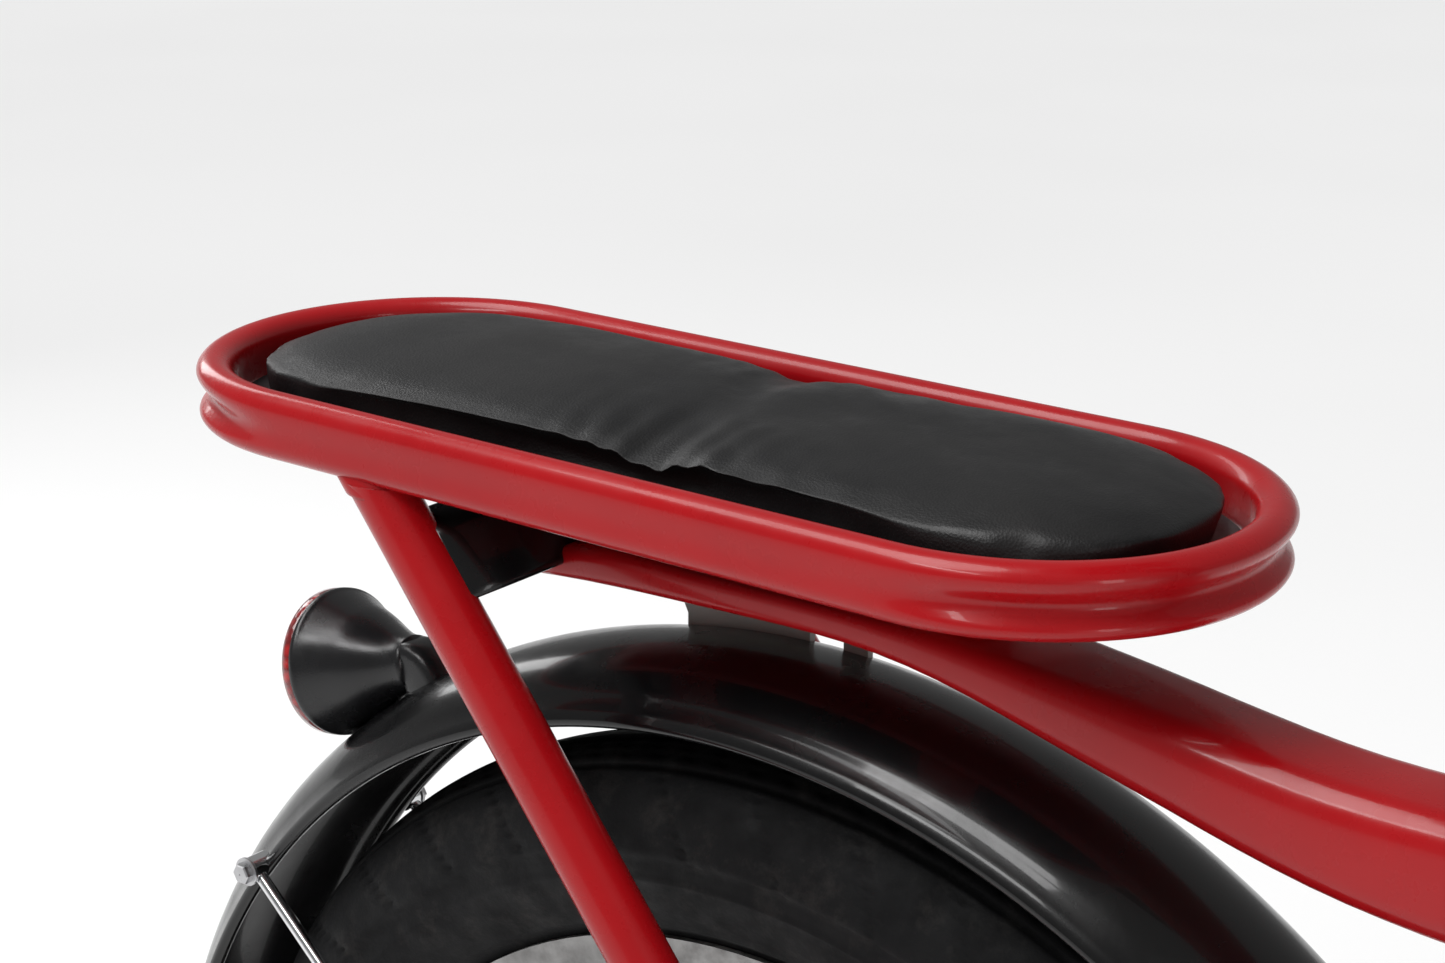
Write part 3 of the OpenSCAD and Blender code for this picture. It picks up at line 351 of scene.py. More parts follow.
def red_lens():
    """Clear red plastic over small moulded prisms."""
    f = Finish("red_lens", (0.42, 0.006, 0.008), 0.14, coat=0.9, coat_rough=0.04)
    f.tint(f.ranged(f.cells(260), 0.0, 0.6), (0.5, 0.008, 0.01), (0.16, 0.002, 0.003))
    f.roughen(f.noise(90, 3, 0.5), 0.1, 0.2)
    f.bump(f.cells(260), 0.5, 0.0012)
    return f.mat


def clear_lens():
    f = Finish("clear_lens", (0.86, 0.9, 0.92), 0.06)
    f.bsdf.inputs["Transmission Weight"].default_value = 0.92
    f.tint(f.ranged(f.noise(40, 4, 0.6), 0.35, 0.75), (0.9, 0.93, 0.95), (0.78, 0.82, 0.84))
    f.roughen(f.noise(60, 3, 0.5), 0.03, 0.12)
    return f.mat


RED = red_paint()
BLACK = black_paint()
VINYL = vinyl()
TYRE = tyre_rubber()
RUBBER = rubber()
PLASTIC = moulded("black_plastic", (0.011, 0.011, 0.012), 0.42)
GLOSS_PLASTIC = moulded("gloss_plastic", (0.0085, 0.0085, 0.0095), 0.24)
STEEL = bare_metal("bright_steel", (0.55, 0.55, 0.56), 0.3)
CHROME = bare_metal("chrome", (0.78, 0.79, 0.8), 0.1, 0.02)
ALLOY = bare_metal("grey_alloy", (0.33, 0.325, 0.32), 0.45, 0.12)
BRACKET = moulded("bracket_grey", (0.34, 0.335, 0.31), 0.5)
LENS_RED = red_lens()
LENS_CLEAR = clear_lens()

SLOT_MATERIAL = {
    "red_paint": RED, "black_paint": BLACK, "vinyl": VINYL, "tyre": TYRE, "rubber": RUBBER,
    "black_plastic": PLASTIC, "bright_steel": STEEL, "chrome": CHROME, "grey_alloy": ALLOY,
    "red_lens": LENS_RED, "clear_lens": LENS_CLEAR,
}


def dress_cad_nodes():
    """Each CAD node takes its slot's material; the fender brackets have their own grey."""
    for part in frame["record"]["subparts"]:
        obj = NODES[part["node"]]
        material = SLOT_MATERIAL[part["material_slot"]]
        if part["node"] == "rear_fender_brackets":
            material = BRACKET
        for slot in obj.material_slots:
            slot.material = material


# Camera, lights and floor -------------------------------------------------------------

def make_camera():
    """The viewpoint, given from the rear axle: ahead of it, on the right, above."""
    offset = Vector((0.4956, -0.6937, 0.6443))
    yaw, pitch, roll = 0.6544, 0.3083, 0.0061
    focal_px, width_px, sensor = 2723.9, 1445, 36.0
    ahead = Vector((-math.sin(yaw) * math.cos(pitch), math.cos(yaw) * math.cos(pitch),
                    -math.sin(pitch)))
    level = Vector((math.cos(yaw), math.sin(yaw), 0))
    above = level.cross(ahead)
    right = level * math.cos(roll) + above * math.sin(roll)
    up = above * math.cos(roll) - level * math.sin(roll)
    data = bpy.data.cameras.new("camera")
    data.sensor_width = sensor
    data.lens = focal_px / width_px * sensor
    data.clip_start = 0.02
    data.clip_end = 100
    camera = bpy.data.objects.new("camera", data)
    turn = Matrix((right, up, -ahead)).transposed().to_4x4()
    camera.matrix_world = Matrix.Translation(Vector((REAR.x, REAR.y, REAR.z)) + offset) @ turn
    bpy.context.scene.collection.objects.link(camera)
    bpy.context.scene.camera = camera


def area_light(name, place, target, size, power, color=(1, 1, 1)):
    data = bpy.data.lights.new(name, "AREA")
    data.shape = "RECTANGLE"
    data.size, data.size_y = size
    data.energy = power
    data.color = color
    lamp = bpy.data.objects.new(name, data)
    lamp.location = place
    lamp.rotation_mode = "QUATERNION"
    lamp.rotation_quaternion = (Vector(target) - Vector(place)).to_track_quat("-Z", "Y")
    bpy.context.scene.collection.objects.link(lamp)


def make_studio():
    """A pale floor under a wide soft light from above, with dim surroundings."""
    scene = bpy.context.scene
    scene.view_settings.view_transform = "Standard"
    world = bpy.data.worlds.new("studio")
    world.use_nodes = True
    world.node_tree.nodes["Background"].inputs["Color"].default_value = (1, 1, 1, 1)
    world.node_tree.nodes["Background"].inputs["Strength"].default_value = 0.26
    scene.world = world
    sun = bpy.data.lights.new("overhead", "SUN")
    sun.energy = 2.35
    sun.angle = math.radians(40)
    lamp = bpy.data.objects.new("overhead", sun)
    lamp.rotation_euler = (math.radians(14), math.radians(-20), 0)
    scene.collection.objects.link(lamp)
    seat = Vector((REAR.x, 0, 0.6))
    area_light("key", (REAR.x - 0.2, -1.3, 2.1), seat, (0.9, 0.25), 9)
    area_light("rim", (REAR.x - 1.9, 0.6, 1.5), seat, (0.4, 1.4), 8)
    area_light("front", (REAR.x + 2.8, -1.2, 1.3), Vector((0.3, 0, 0.5)), (0.5, 1.4), 10)
    size = 40
    floor = mesh_object("floor", [(-size, -size, -0.0005), (size, -size, -0.0005),
                                  (size, size, -0.0005), (-size, size, -0.0005)], [(0, 1, 2, 3)])
    f = Finish("floor", (0.9, 0.9, 0.9), 0.7, specular=0.2)
    f.tint(f.ranged(f.noise(0.8, 2, 0.5), 0.3, 0.7), (0.90, 0.90, 0.90), (0.93, 0.93, 0.93))
    floor.data.materials.append(f.mat)


# Passenger seat -----------------------------------------------------------------------

def stadium_path(half_l, turn_r, per_bend, per_straight, z):
    """Points round a long oval, with how far each lies into a bend (0 straight, 1 in the bend)."""
    mid = half_l - turn_r
    points = []
    for end, start in ((1, -90), (-1, 90)):
        for i in range(per_bend):
            angle = math.radians(start + 180 * i / per_bend)
            points.append((Vector((end * mid + turn_r * math.cos(angle),
                                   turn_r * math.sin(angle), z)), 1.0))
        for i in range(per_straight):
            t = i / per_straight
            points.append((Vector((end * mid * (1 - 2 * t), end * turn_r, z)), 0.0))
    return points


def flat_oval(width, height, count=40):
    """Outline of a tube's section that is taller than wide, with round top and bottom."""
    r = width / 2
    flat = height / 2 - r
    points = []
    half = count // 2
    for i in range(half + 1):
        angle = math.pi * i / half
        points.append((r * math.cos(angle), flat + r * math.sin(angle)))
    for i in range(half + 1):
        angle = math.pi + math.pi * i / half
        points.append((r * math.cos(angle), -flat + r * math.sin(angle)))
    out = []
    for a, b in zip(points, points[1:] + points[:1]):
        out.append(a)
        gap = math.hypot(b[0] - a[0], b[1] - a[1])
        if gap > height / 8:
            steps = 7
            out += [(a[0] + (b[0] - a[0]) * k / steps, a[1] + (b[1] - a[1]) * k / steps)
                    for k in range(1, steps)]
    return out


def make_hoop():
    """The hoop's tube, whose outer wall is pinched into a groove round both bends."""
    turn_r = HOOP_HALF_W - HOOP_TUBE_W / 2
    path = stadium_path(HOOP_HALF_L - HOOP_TUBE_W / 2, turn_r, 56, 40, HOOP.z)
    mid = HOOP_HALF_L - HOOP_HALF_W
    rings = []
    for point, _ in path:
        into_bend = smooth_step((abs(point.x) - mid + 0.008) / 0.045)
        out = Vector((point.x - math.copysign(mid, point.x), point.y, 0))
        if abs(point.x) < mid:
            out = Vector((0, point.y, 0))
        out.normalize()
        ring = []
        for u, v in flat_oval(HOOP_TUBE_W, HOOP_H):
            if u > 0:
                groove = math.exp(-((v + 0.0012) / 0.0042) ** 2)
                u -= (0.0046 * into_bend + 0.0004) * groove
                u += 0.0005 * into_bend * math.exp(-((abs(v) - 0.008) / 0.003) ** 2)
            ring.append(Vector((HOOP.x, HOOP.y, 0)) + point + out * u + Vector((0, 0, v)))
        rings.append(ring)
    hoop = mesh_object("hoop_tube", *skin(rings, closed=True))
    finish_piece(hoop, RED, "frame", ["seat_hoop"])


def copy_of(name, new_name):
    """A free mesh object with the shape of a CAD node."""
    obj = bpy.data.objects.new(new_name, NODES[name].data.copy())
    bpy.context.scene.collection.objects.link(obj)
    return obj


def activate(obj):
    for other in bpy.context.selected_objects:
        other.select_set(False)
    obj.select_set(True)
    bpy.context.view_layer.objects.active = obj


def applied(obj, modifier):
    """Applies one modifier to the object's mesh."""
    activate(obj)
    bpy.ops.object.modifier_apply(modifier=modifier.name)


def swell(obj, voxel, inset, limit, pressure=4.0):
    """Remeshes a soft solid, draws it in a little, and blows it up as cloth."""
    remesh = obj.modifiers.new("Remesh", "REMESH")
    remesh.mode = "VOXEL"
    remesh.voxel_size = voxel
    applied(obj, remesh)
    for _ in range(2):
        normals = [v.normal.copy() for v in obj.data.vertices]
        for vert, normal in zip(obj.data.vertices, normals):
            vert.co -= normal * inset / 2
        obj.data.update()
    before = [(v.co.copy(), v.normal.copy()) for v in obj.data.vertices]
    cloth = obj.modifiers.new("Cloth", "CLOTH")
    cloth.settings.use_pressure = True
    cloth.settings.uniform_pressure_force = pressure
    cloth.settings.effector_weights.gravity = 0
    cloth.settings.quality = 5
    cloth.settings.tension_stiffness = 18
    cloth.settings.compression_stiffness = 18
    cloth.settings.shear_stiffness = 8
    cloth.settings.bending_stiffness = 0.6
    cloth.point_cache.frame_start = 1
    cloth.point_cache.frame_end = 20
    scene = bpy.context.scene
    for step in range(1, 21):
        scene.frame_set(step)
    applied(obj, cloth)
    scene.frame_set(1)
    for vert, (was, normal) in zip(obj.data.vertices, before):
        move = vert.co - was
        move -= normal * min(move.dot(normal), 0.0)
        if move.length > limit:
            vert.co = was + move * (limit / move.length)
    relax(obj, 3)


def relax(obj, rounds):
    """Evens out a mesh's small ripples without changing its shape much."""
    work = bmesh.new()
    work.from_mesh(obj.data)
    for _ in range(rounds):
        bmesh.ops.smooth_vert(work, verts=work.verts, factor=0.5,
                              use_axis_x=True, use_axis_y=True, use_axis_z=True)
    work.to_mesh(obj.data)
    work.free()
    obj.data.update()


def subdivided(obj):
    modifier = obj.modifiers.new("Subdivision", "SUBSURF")
    modifier.levels = 1
    modifier.render_levels = 1
    applied(obj, modifier)


def make_passenger_pad():
    """Two sewn cushions in one cover: crowned, with a pleated seam across it."""
    pad = copy_of("passenger_pad", "passenger_cushion")
    swell(pad, 0.005, 0.0015, 0.006)
    subdivided(pad)
    low, high = (Vector(c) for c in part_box("passenger_pad"))
    half_l = (high.x - low.x) / 2
    half_w = (high.y - low.y) / 2
    centre = (low + high) / 2
    mid = half_l - half_w
    rail = HOOP_TOP
    seam_x = centre.x + 0.012
    for vert in pad.data.vertices:
        p = vert.co
        x, y = p.x - centre.x, p.y - centre.y
        over = max(abs(x) - mid, 0.0)
        from_middle = min(math.hypot(over, y) / half_w, 1.0)
        rear = smooth_step((-x - 0.03) / 0.14)
        crown = 0.0135 - 0.001 * rear
        top = rail - 0.0068 + crown * math.sqrt(max(1 - from_middle ** 2.8, 0.0))
        top -= 0.0045 * smooth_step((-x - 0.085) / 0.125)
        top -= 0.0015 * smooth_step((x - 0.10) / 0.10)
        upper = smooth_step((p.z - (low.z + 0.004)) / 0.010)
        along = p.x - seam_x + 0.16 * (y + half_w) - 0.010
        valley = math.exp(-(along / 0.011) ** 2)
        wide = math.exp(-(along / 0.034) ** 2)
        near = smooth_step(abs(y) / half_w) * (1.0 if y < 0 else 0.3)
        top -= valley * (0.0016 + 0.0024 * near) + wide * (0.0014 + 0.001 * near)
        fold = along * 210 + 1.4 * noise.noise(Vector((p.x * 30, p.y * 30, 1.7)))
        top += 0.0011 * near * wide * math.cos(fold * 2.4)
        slant = (p.x - seam_x) * 0.75 + y * 0.9
        ridge = noise.noise(Vector((slant * 62, (p.x - y) * 11, 5.1)))
        spread = math.exp(-((p.x - seam_x - 0.030) / 0.055) ** 2)
        top += 0.0016 * spread * ridge
        top += 0.0008 * noise.noise(Vector((p.x * 24, p.y * 24, 9.3)))
        p.z += (top - p.z) * upper * 0.92
        pull = 0.0022 * valley * near
        p.y -= math.copysign(pull, y)
        reach = math.hypot(over, y)
        allowed = half_w + 0.0006
        if reach > allowed:
            shrink = allowed / reach
            p.y = centre.y + y * shrink
            if over > 0:
                p.x = centre.x + math.copysign(mid + over * shrink, x)
        p.z = max(p.z, low.z)
    pad.data.update()
    relax(pad, 1)
    finish_piece(pad, VINYL, "frame", ["passenger_pad"])


# Frame --------------------------------------------------------------------------------

def beam_edges(count):
    """Upper and lower edge of the beam's side, read from its CAD node."""
    mesh = NODES["main_beam"].data
    tree = BVHTree.FromPolygons([v.co for v in mesh.vertices], [p.vertices for p in mesh.polygons])
    low, high = (Vector(c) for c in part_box("main_beam"))
    side = low.y + 0.001
    upper, lower = [], []
    for i in range(count):
        x = low.x + 0.0015 + (high.x - low.x - 0.003) * i / (count - 1)
        up_hit = tree.ray_cast(Vector((x, side, high.z + 1)), Vector((0, 0, -1)))[0]
        low_hit = tree.ray_cast(Vector((x, side, low.z - 1)), Vector((0, 0, 1)))[0]
        if up_hit and low_hit:
            upper.append(Vector((x, 0, up_hit.z)))
            lower.append(Vector((x, 0, low_hit.z)))
    return upper, lower


def softened(points, rounds):
    """The same line with its corners evened out and its ends kept."""
    line = [p.copy() for p in points]
    for _ in range(rounds):
        line = [line[0]] + [
            (line[i - 1] + line[i] * 2 + line[i + 1]) / 4 for i in range(1, len(line) - 1)
        ] + [line[-1]]
    return line


def make_beam():
    """The pressed beam: soft-cornered, swelling towards the head tube."""
    upper, lower = beam_edges(160)
    upper = softened(resample(upper, 90), 3)
    lower = softened(resample(lower, 90), 3)
    half_w = size_of("main_beam").y / 2
    rings = []
    for top, bottom in zip(upper, lower):
        rise = top - bottom
        depth = rise.length
        centre = (top + bottom) / 2
        lift = rise.normalized()
        radius = min(0.0115, depth * 0.38)
        rings.append([centre + Vector((0, 1, 0)) * u + lift * v
                      for u, v in rounded_box_points(half_w * 2, depth, radius)])
    beam = mesh_object("beam_shell", *skin(rings))
    finish_piece(beam, RED, "frame", ["main_beam"])


def weld(name, centre, axis, radius, body, thick=0.0024):
    """A small weld fillet round a tube where it meets its neighbour."""
    axis = Vector(axis).normalized()
    profile = [
        (radius * 0.93, -thick * 0.8), (radius + thick * 1.5, -thick * 0.9),
        (radius + thick * 0.85, thick * 0.1), (radius + thick * 0.3, thick * 1.1),
        (radius - thick * 0.1, thick * 2.2), (radius * 0.93, thick * 2.2),
    ]
    count = 48
    helper = Vector((1, 0, 0)) if abs(axis.x) < 0.9 else Vector((0, 0, 1))
    u = (helper - axis * helper.dot(axis)).normalized()
    v = axis.cross(u)
    rings = []
    for i in range(count):
        angle = 2 * math.pi * i / count
        wave = 1 + 0.006 * math.sin(angle * 15) + 0.004 * math.sin(angle * 23 + 1)
        radial = u * math.cos(angle) + v * math.sin(angle)
        rings.append([Vector(centre) + radial * r * wave + axis * h for r, h in profile])
    bead = mesh_object(name, *skin(rings, closed=True))
    return finish_piece(bead, RED, body, levels=1)


# Fenders and tyres ----------------------------------------------------------------------

def arc_span(node, centre):
    """First and last angle that a node covers round an axle, in degrees above +X."""
    angles = sorted(
        math.degrees(math.atan2(v.co.z - centre.z, v.co.x - centre.x)) % 360
        for v in NODES[node].data.vertices
    )
    gaps = [(b - a, a, b) for a, b in zip(angles, angles[1:] + [angles[0] + 360])]
    _, before, after = max(gaps)
    first = after % 360
    last = before if before > first else before + 360
    return first, last


def fender_profile(wall=0.0016, bead=0.0030):
    """Section of a fender: a round crown, steep sides and a rolled edge."""
    half = FENDER_HALF - bead * 0.4
    outer = []
    steps = 26
    for i in range(steps + 1):
        t = -1 + 2 * i / steps
        drop = FENDER_DEPTH * (1 - math.sqrt(max(1 - (abs(t) ** 2.15) * 0.93, 0.0))) / 0.735
        outer.append((FENDER_R - min(drop, FENDER_DEPTH - bead * 1.2), t * half))
    lip = FENDER_R - FENDER_DEPTH + bead * 1.1
    right = [(lip + bead * math.sin(a), half - bead * 0.6 + bead * math.cos(a))
             for a in map(math.radians, (20, -20, -60, -100, -140, -180))]
    inner = [(r - wall, y * (1 - wall / half)) for r, y in reversed(outer)]
    inner = [p for p in inner if abs(p[1]) < half - bead * 1.4]
    left = [(r, -y) for r, y in reversed(right)]
    return outer[1:-1] + right + inner + left


def make_fender(name, node, centre, body):
    first, last = arc_span(node, centre)
    profile = fender_profile()
    count = 150
    rings = []
    for i in range(count + 1):
        share = i / count
        angle = math.radians(first + (last - first) * share)
        tip = min(share, 1 - share) * (last - first)
        pinch = 1 - 0.55 * (1 - smooth_step(tip / 5.0)) ** 2
        rings.append([
            Vector((centre.x + r * math.cos(angle), centre.y + y * pinch,
                    centre.z + r * math.sin(angle)))
            for r, y in profile
        ])
    fender = mesh_object(name, *skin(rings))
    return finish_piece(fender, BLACK, body, [node])


BEAD_ANGLE = 180 - math.degrees(math.asin((RIM_HALF - 0.0009) / TYRE_HALF))


def casing(angle_deg, grow=0.0):
    """Point of the tyre's casing; 0 is the middle of the tread and 90 its widest side."""
    height = (TYRE_R - RIM_R) / (1 - math.cos(math.radians(BEAD_ANGLE)))
    section_mid = TYRE_R - height
    a = math.radians(angle_deg)
    return (section_mid + (height + grow) * math.cos(a), (TYRE_HALF + grow) * math.sin(a))


def tread_height(round_deg, across_deg):
    """Height of the tread above the casing: big shoulder blocks and a ribbed middle."""
    side = abs(across_deg)
    if side > 84:
        return 0.0
    edge = 1 - smooth_step((side - 79) / 5)
    lean = round_deg + side * 0.10
    pitch = 9.0
    phase = (lean / pitch + (0.5 if across_deg > 0 else 0.0)) % 1.0
    cut = (1 - smooth_step((abs(phase - 0.5) * pitch) / 0.42)) * smooth_step((side - 34) / 4)
    fine = (lean * 1.0 / 3.0 + (0.5 if across_deg > 0 else 0.0)) % 1.0
    nick = (1 - smooth_step((abs(fine - 0.5) * 3.0) / 0.35)) * smooth_step((side - 10) / 4)
    nick *= 1 - smooth_step((side - 27) / 3)
    running = 0.0
    for at, half in ((7.5, 1.5), (31.5, 1.8)):
        running = max(running, 1 - smooth_step((abs(side - at) - half * 0.5) / half))
    return 0.0022 * edge * (1 - max(cut, nick, running) * 0.95)


def make_tyre(name, node, centre, body):
    """A balloon tyre with its tread, side ribs and bead."""
    around = 480
    sides = [-BEAD_ANGLE, -134, -130, -128, -125, -118, -110, -102, -97, -95, -93, -90]
    tread = [-86 + 172 * i / 76 for i in range(77)]
    stations = sides + tread + [-s for s in reversed(sides)]
    rings = []
    for i in range(around):
        turn = 360 * i / around
        angle = math.radians(turn)
        ring = []
        for s in stations:
            rib = 0.0007 * math.exp(-((abs(s) - 95) / 1.1) ** 2)
            rib += 0.0010 * math.exp(-((abs(s) - 129) / 1.6) ** 2)
            r, y = casing(s, tread_height(turn, s) - 0.0021 + rib)
            ring.append(Vector((centre.x + r * math.cos(angle), centre.y + y,
                                centre.z + r * math.sin(angle))))
        for side in (1, -1):
            r, y = RIM_R - 0.005, side * (RIM_HALF - 0.0035)
            ring.append(Vector((centre.x + r * math.cos(angle), centre.y + y,
                                centre.z + r * math.sin(angle))))
        rings.append(ring)
    tyre = mesh_object(name, *skin(rings, closed=True))
    return finish_piece(tyre, TYRE, body, [node])


# Tail light -----------------------------------------------------------------------------

def make_tail_light():
    """A black trumpet that opens to the rear, with a thin red lens in its mouth."""
    housing_low = Vector(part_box("tail_light_housing")[0])
    lens_mid = middle("tail_light_lens")
    lens_size = size_of("tail_light_lens")
    mouth_r = lens_size.y / 2
    tilt = math.radians(13)
    axis = Vector((-math.cos(tilt), 0, -math.sin(tilt)))
    mouth = lens_mid + axis * (-0.0025)
    length = 0.038
    outer = []
    for i in range(30):
        t = i / 29
        r = 0.0105 + (mouth_r - 0.0105) * (0.25 * smooth_step(t * 1.5) + 0.75 * t ** 1.7)
        outer.append((r, -length * (1 - t)))
    lip = [(mouth_r + 0.0006, 0.0006), (mouth_r + 0.0007, 0.0022), (mouth_r - 0.0006, 0.0034),
           (mouth_r - 0.0030, 0.0030)]
    inner = [(r - 0.003, h) for r, h in reversed(outer) if r > 0.014]
    shell = mesh_object("tail_light_shell", *turned(
        [(0.0004, -length - 0.001), (0.008, -length - 0.001)] + outer + lip + inner
        + [(0.0004, inner[-1][1])], mouth, axis, 72))
    finish_piece(shell, GLOSS_PLASTIC, "frame", ["tail_light_housing"])
    profile = [(mouth_r - 0.0004, 0.0004), (mouth_r + 0.0006, 0.0036), (mouth_r + 0.0006, 0.0060)]
    dome = [(mouth_r * math.cos(math.radians(a)), 0.0062 + 0.0032 * math.sin(math.radians(a)))
            for a in range(6, 91, 6)]
    lens = mesh_object("tail_light_glass", *turned(
        [(0.0003, 0.0004)] + profile + dome[:-1] + [(0.0003, 0.0094)], mouth, axis, 72))
    finish_piece(lens, LENS_RED, "frame", ["tail_light_lens"])
    neck = mouth - axis * length
    foot = Vector((neck.x + 0.006, 0, housing_low.z + 0.020))
    path = [neck + axis * 0.010, neck - axis * 0.004, neck + Vector((0.008, 0, -0.006)),
            (neck + foot) / 2 + Vector((0.008, 0, 0.0)), foot, foot + Vector((0.002, 0, -0.012))]
    fine = resample(softened(resample(path, 24), 4), 20)
    section = rounded_box_points(0.017, 0.019, 0.005, 4)
    bracket = mesh_object("tail_light_foot", *sweep(fine, section, up=Vector((1, 0, 0.3))))
    finish_piece(bracket, GLOSS_PLASTIC, "frame")


# Saddle, handlebar and grips --------------------------------------------------------------

def make_saddle():
    """The saddle's cover, swollen over foam, with a sewn edge and a soft channel."""
    cover = copy_of("saddle", "saddle_cover")
    swell(cover, 0.005, 0.002, 0.009)
    subdivided(cover)
    low, high = (Vector(c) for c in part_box("saddle"))
    centre = (low + high) / 2
    half_w = (high.y - low.y) / 2
    for vert in cover.data.vertices:
        p = vert.co
        ahead = (p.x - low.x) / (high.x - low.x)
        dish = math.exp(-(((ahead - 0.52) / 0.26) ** 2))
        upper = smooth_step((p.z - low.z - 0.018) / 0.018)
        p.z -= 0.006 * dish * upper
        p.z += 0.003 * upper * smooth_step((0.25 - ahead) / 0.25)
        channel = math.exp(-((p.y - centre.y) / 0.010) ** 2)
        p.z -= 0.0028 * channel * upper * smooth_step((ahead - 0.08) / 0.12)
        seam = math.exp(-((p.z - (low.z + 0.013)) / 0.0018) ** 2)
        out = Vector((p.x - centre.x, p.y * 1.2, 0))
        if out.length > half_w * 0.3:
            p -= out.normalized() * 0.0013 * seam
        p.z = max(p.z, low.z)
    cover.data.update()
    finish_piece(cover, VINYL, "seat", ["saddle"])


def bar_points(side):
    """Bends of half the handlebar, from the middle of its sleeve to the open end."""
    low, high = (Vector(c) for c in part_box("handlebar"))
    sleeve_r = 12.7 * MM
    mid = Vector((high.x - sleeve_r, 0, low.z + sleeve_r))
    end = Vector((low.x + 5 * MM, side * (high.y - 5 * MM), high.z - 16.5 * MM))
    inner = Vector((mid.x - 42 * MM, side * (end.y * side - 139 * MM), end.z + 4 * MM))
    low_bend = Vector((mid.x - 30 * MM, side * (inner.y * side - 36 * MM), inner.z - 12 * MM))
    return [mid, mid + Vector((0, side * 45 * MM, 0)), low_bend, inner, end]


def make_handlebar():
    """One bent and polished tube, thicker where the stem holds it."""
    left, right = bar_points(1), bar_points(-1)
    line = [p for p in reversed(right)] + left[1:]
    fine = softened(resample(line, 170), 14)
    radius = 11.1 * MM
    tube = mesh_object("handlebar_tube", *sweep(
        fine, circle_points(radius, 28), up=Vector((1, 0, 0.3))))
    finish_piece(tube, CHROME, "fork", ["handlebar"])
    half, thick = 45 * MM, 12.7 * MM
    profile = [(radius * 0.9, -half - 3 * MM), (radius + 0.2 * MM, -half - 3 * MM), (thick, -half),
               (thick, half), (radius + 0.2 * MM, half + 3 * MM), (radius * 0.9, half + 3 * MM)]
    sleeve = mesh_object("handlebar_sleeve", *turned(profile, left[0], (0, 1, 0), 64))
    finish_piece(sleeve, CHROME, "fork")
    edge = sleeve.modifiers.new("Edge", "EDGE_SPLIT")
    edge.split_angle = math.radians(40)


def make_grips():
    """Rubber grips with finger rings, a flange inside and a closed end."""
    for side, name in ((1, "left"), (-1, "right")):
        points = bar_points(side)
        end = points[4]
        axis = (points[4] - points[3]).normalized()
        length = 125 * MM
        profile = [(11.2 * MM, -length), (17.0 * MM, -length), (17.2 * MM, -length + 3 * MM),
                   (15.2 * MM, -length + 5 * MM)]
        rings = 17
        for i in range(rings):
            start = -length + 9 * MM + i * 6.3 * MM
            profile += [(15.0 * MM, start), (15.9 * MM, start + 1.1 * MM),
                        (16.0 * MM, start + 2.6 * MM), (15.9 * MM, start + 4.1 * MM),
                        (15.0 * MM, start + 5.2 * MM)]
        profile += [(15.6 * MM, -2 * MM), (15.2 * MM, 1.6 * MM), (13.0 * MM, 3 * MM),
                    (0.3 * MM, 3.2 * MM), (0.3 * MM, 1 * MM), (11.2 * MM, 0.5 * MM)]
        grip = mesh_object("grip_" + name, *turned(profile, end, axis, 56))
        finish_piece(grip, RUBBER, "fork", ["grips"] if side > 0 else ())


# Chain ------------------------------------------------------------------------------------

def chain_line():
    """Middle line of the chain round the chainring and the sprocket, in order."""
    pitch = 12.7 * MM
    ring = middle("chainring")
    cog = middle("rear_sprocket")
    ring_r = pitch / 2 / math.sin(math.pi / 44)
    cog_r = pitch / 2 / math.sin(math.pi / 18)
    y = middle("chain").y
    gap = Vector((ring.x - cog.x, 0, ring.z - cog.z))
    base = math.atan2(gap.z, gap.x)
    spread = math.acos((ring_r - cog_r) / gap.length)
    points = []
    top, bottom = base + math.pi - spread, base + math.pi + spread
    steps = 60
    for i in range(steps + 1):
        a = bottom + (top + 2 * math.pi - bottom) * i / steps
        points.append(Vector((ring.x + ring_r * math.cos(a), y, ring.z + ring_r * math.sin(a))))
    for i in range(steps // 2 + 1):
        a = top + (bottom - top) * i / (steps // 2)
        points.append(Vector((cog.x + cog_r * math.cos(a), y, cog.z + cog_r * math.sin(a))))
    points.append(points[0])
    return points


def plate_outline(length, waist, end_r, count=10):
    """A chain plate: two round ends joined by a narrower waist."""
    points = []
    for i in range(count + 1):
        a = math.radians(-115 + 230 * i / count)
        points.append((length / 2 + end_r * math.cos(a), end_r * math.sin(a)))
    points.append((0, waist))
    for i in range(count + 1):
        a = math.radians(65 + 230 * i / count)
        points.append((-length / 2 + end_r * math.cos(a), end_r * math.sin(a)))
    points.append((0, -waist))
    return points


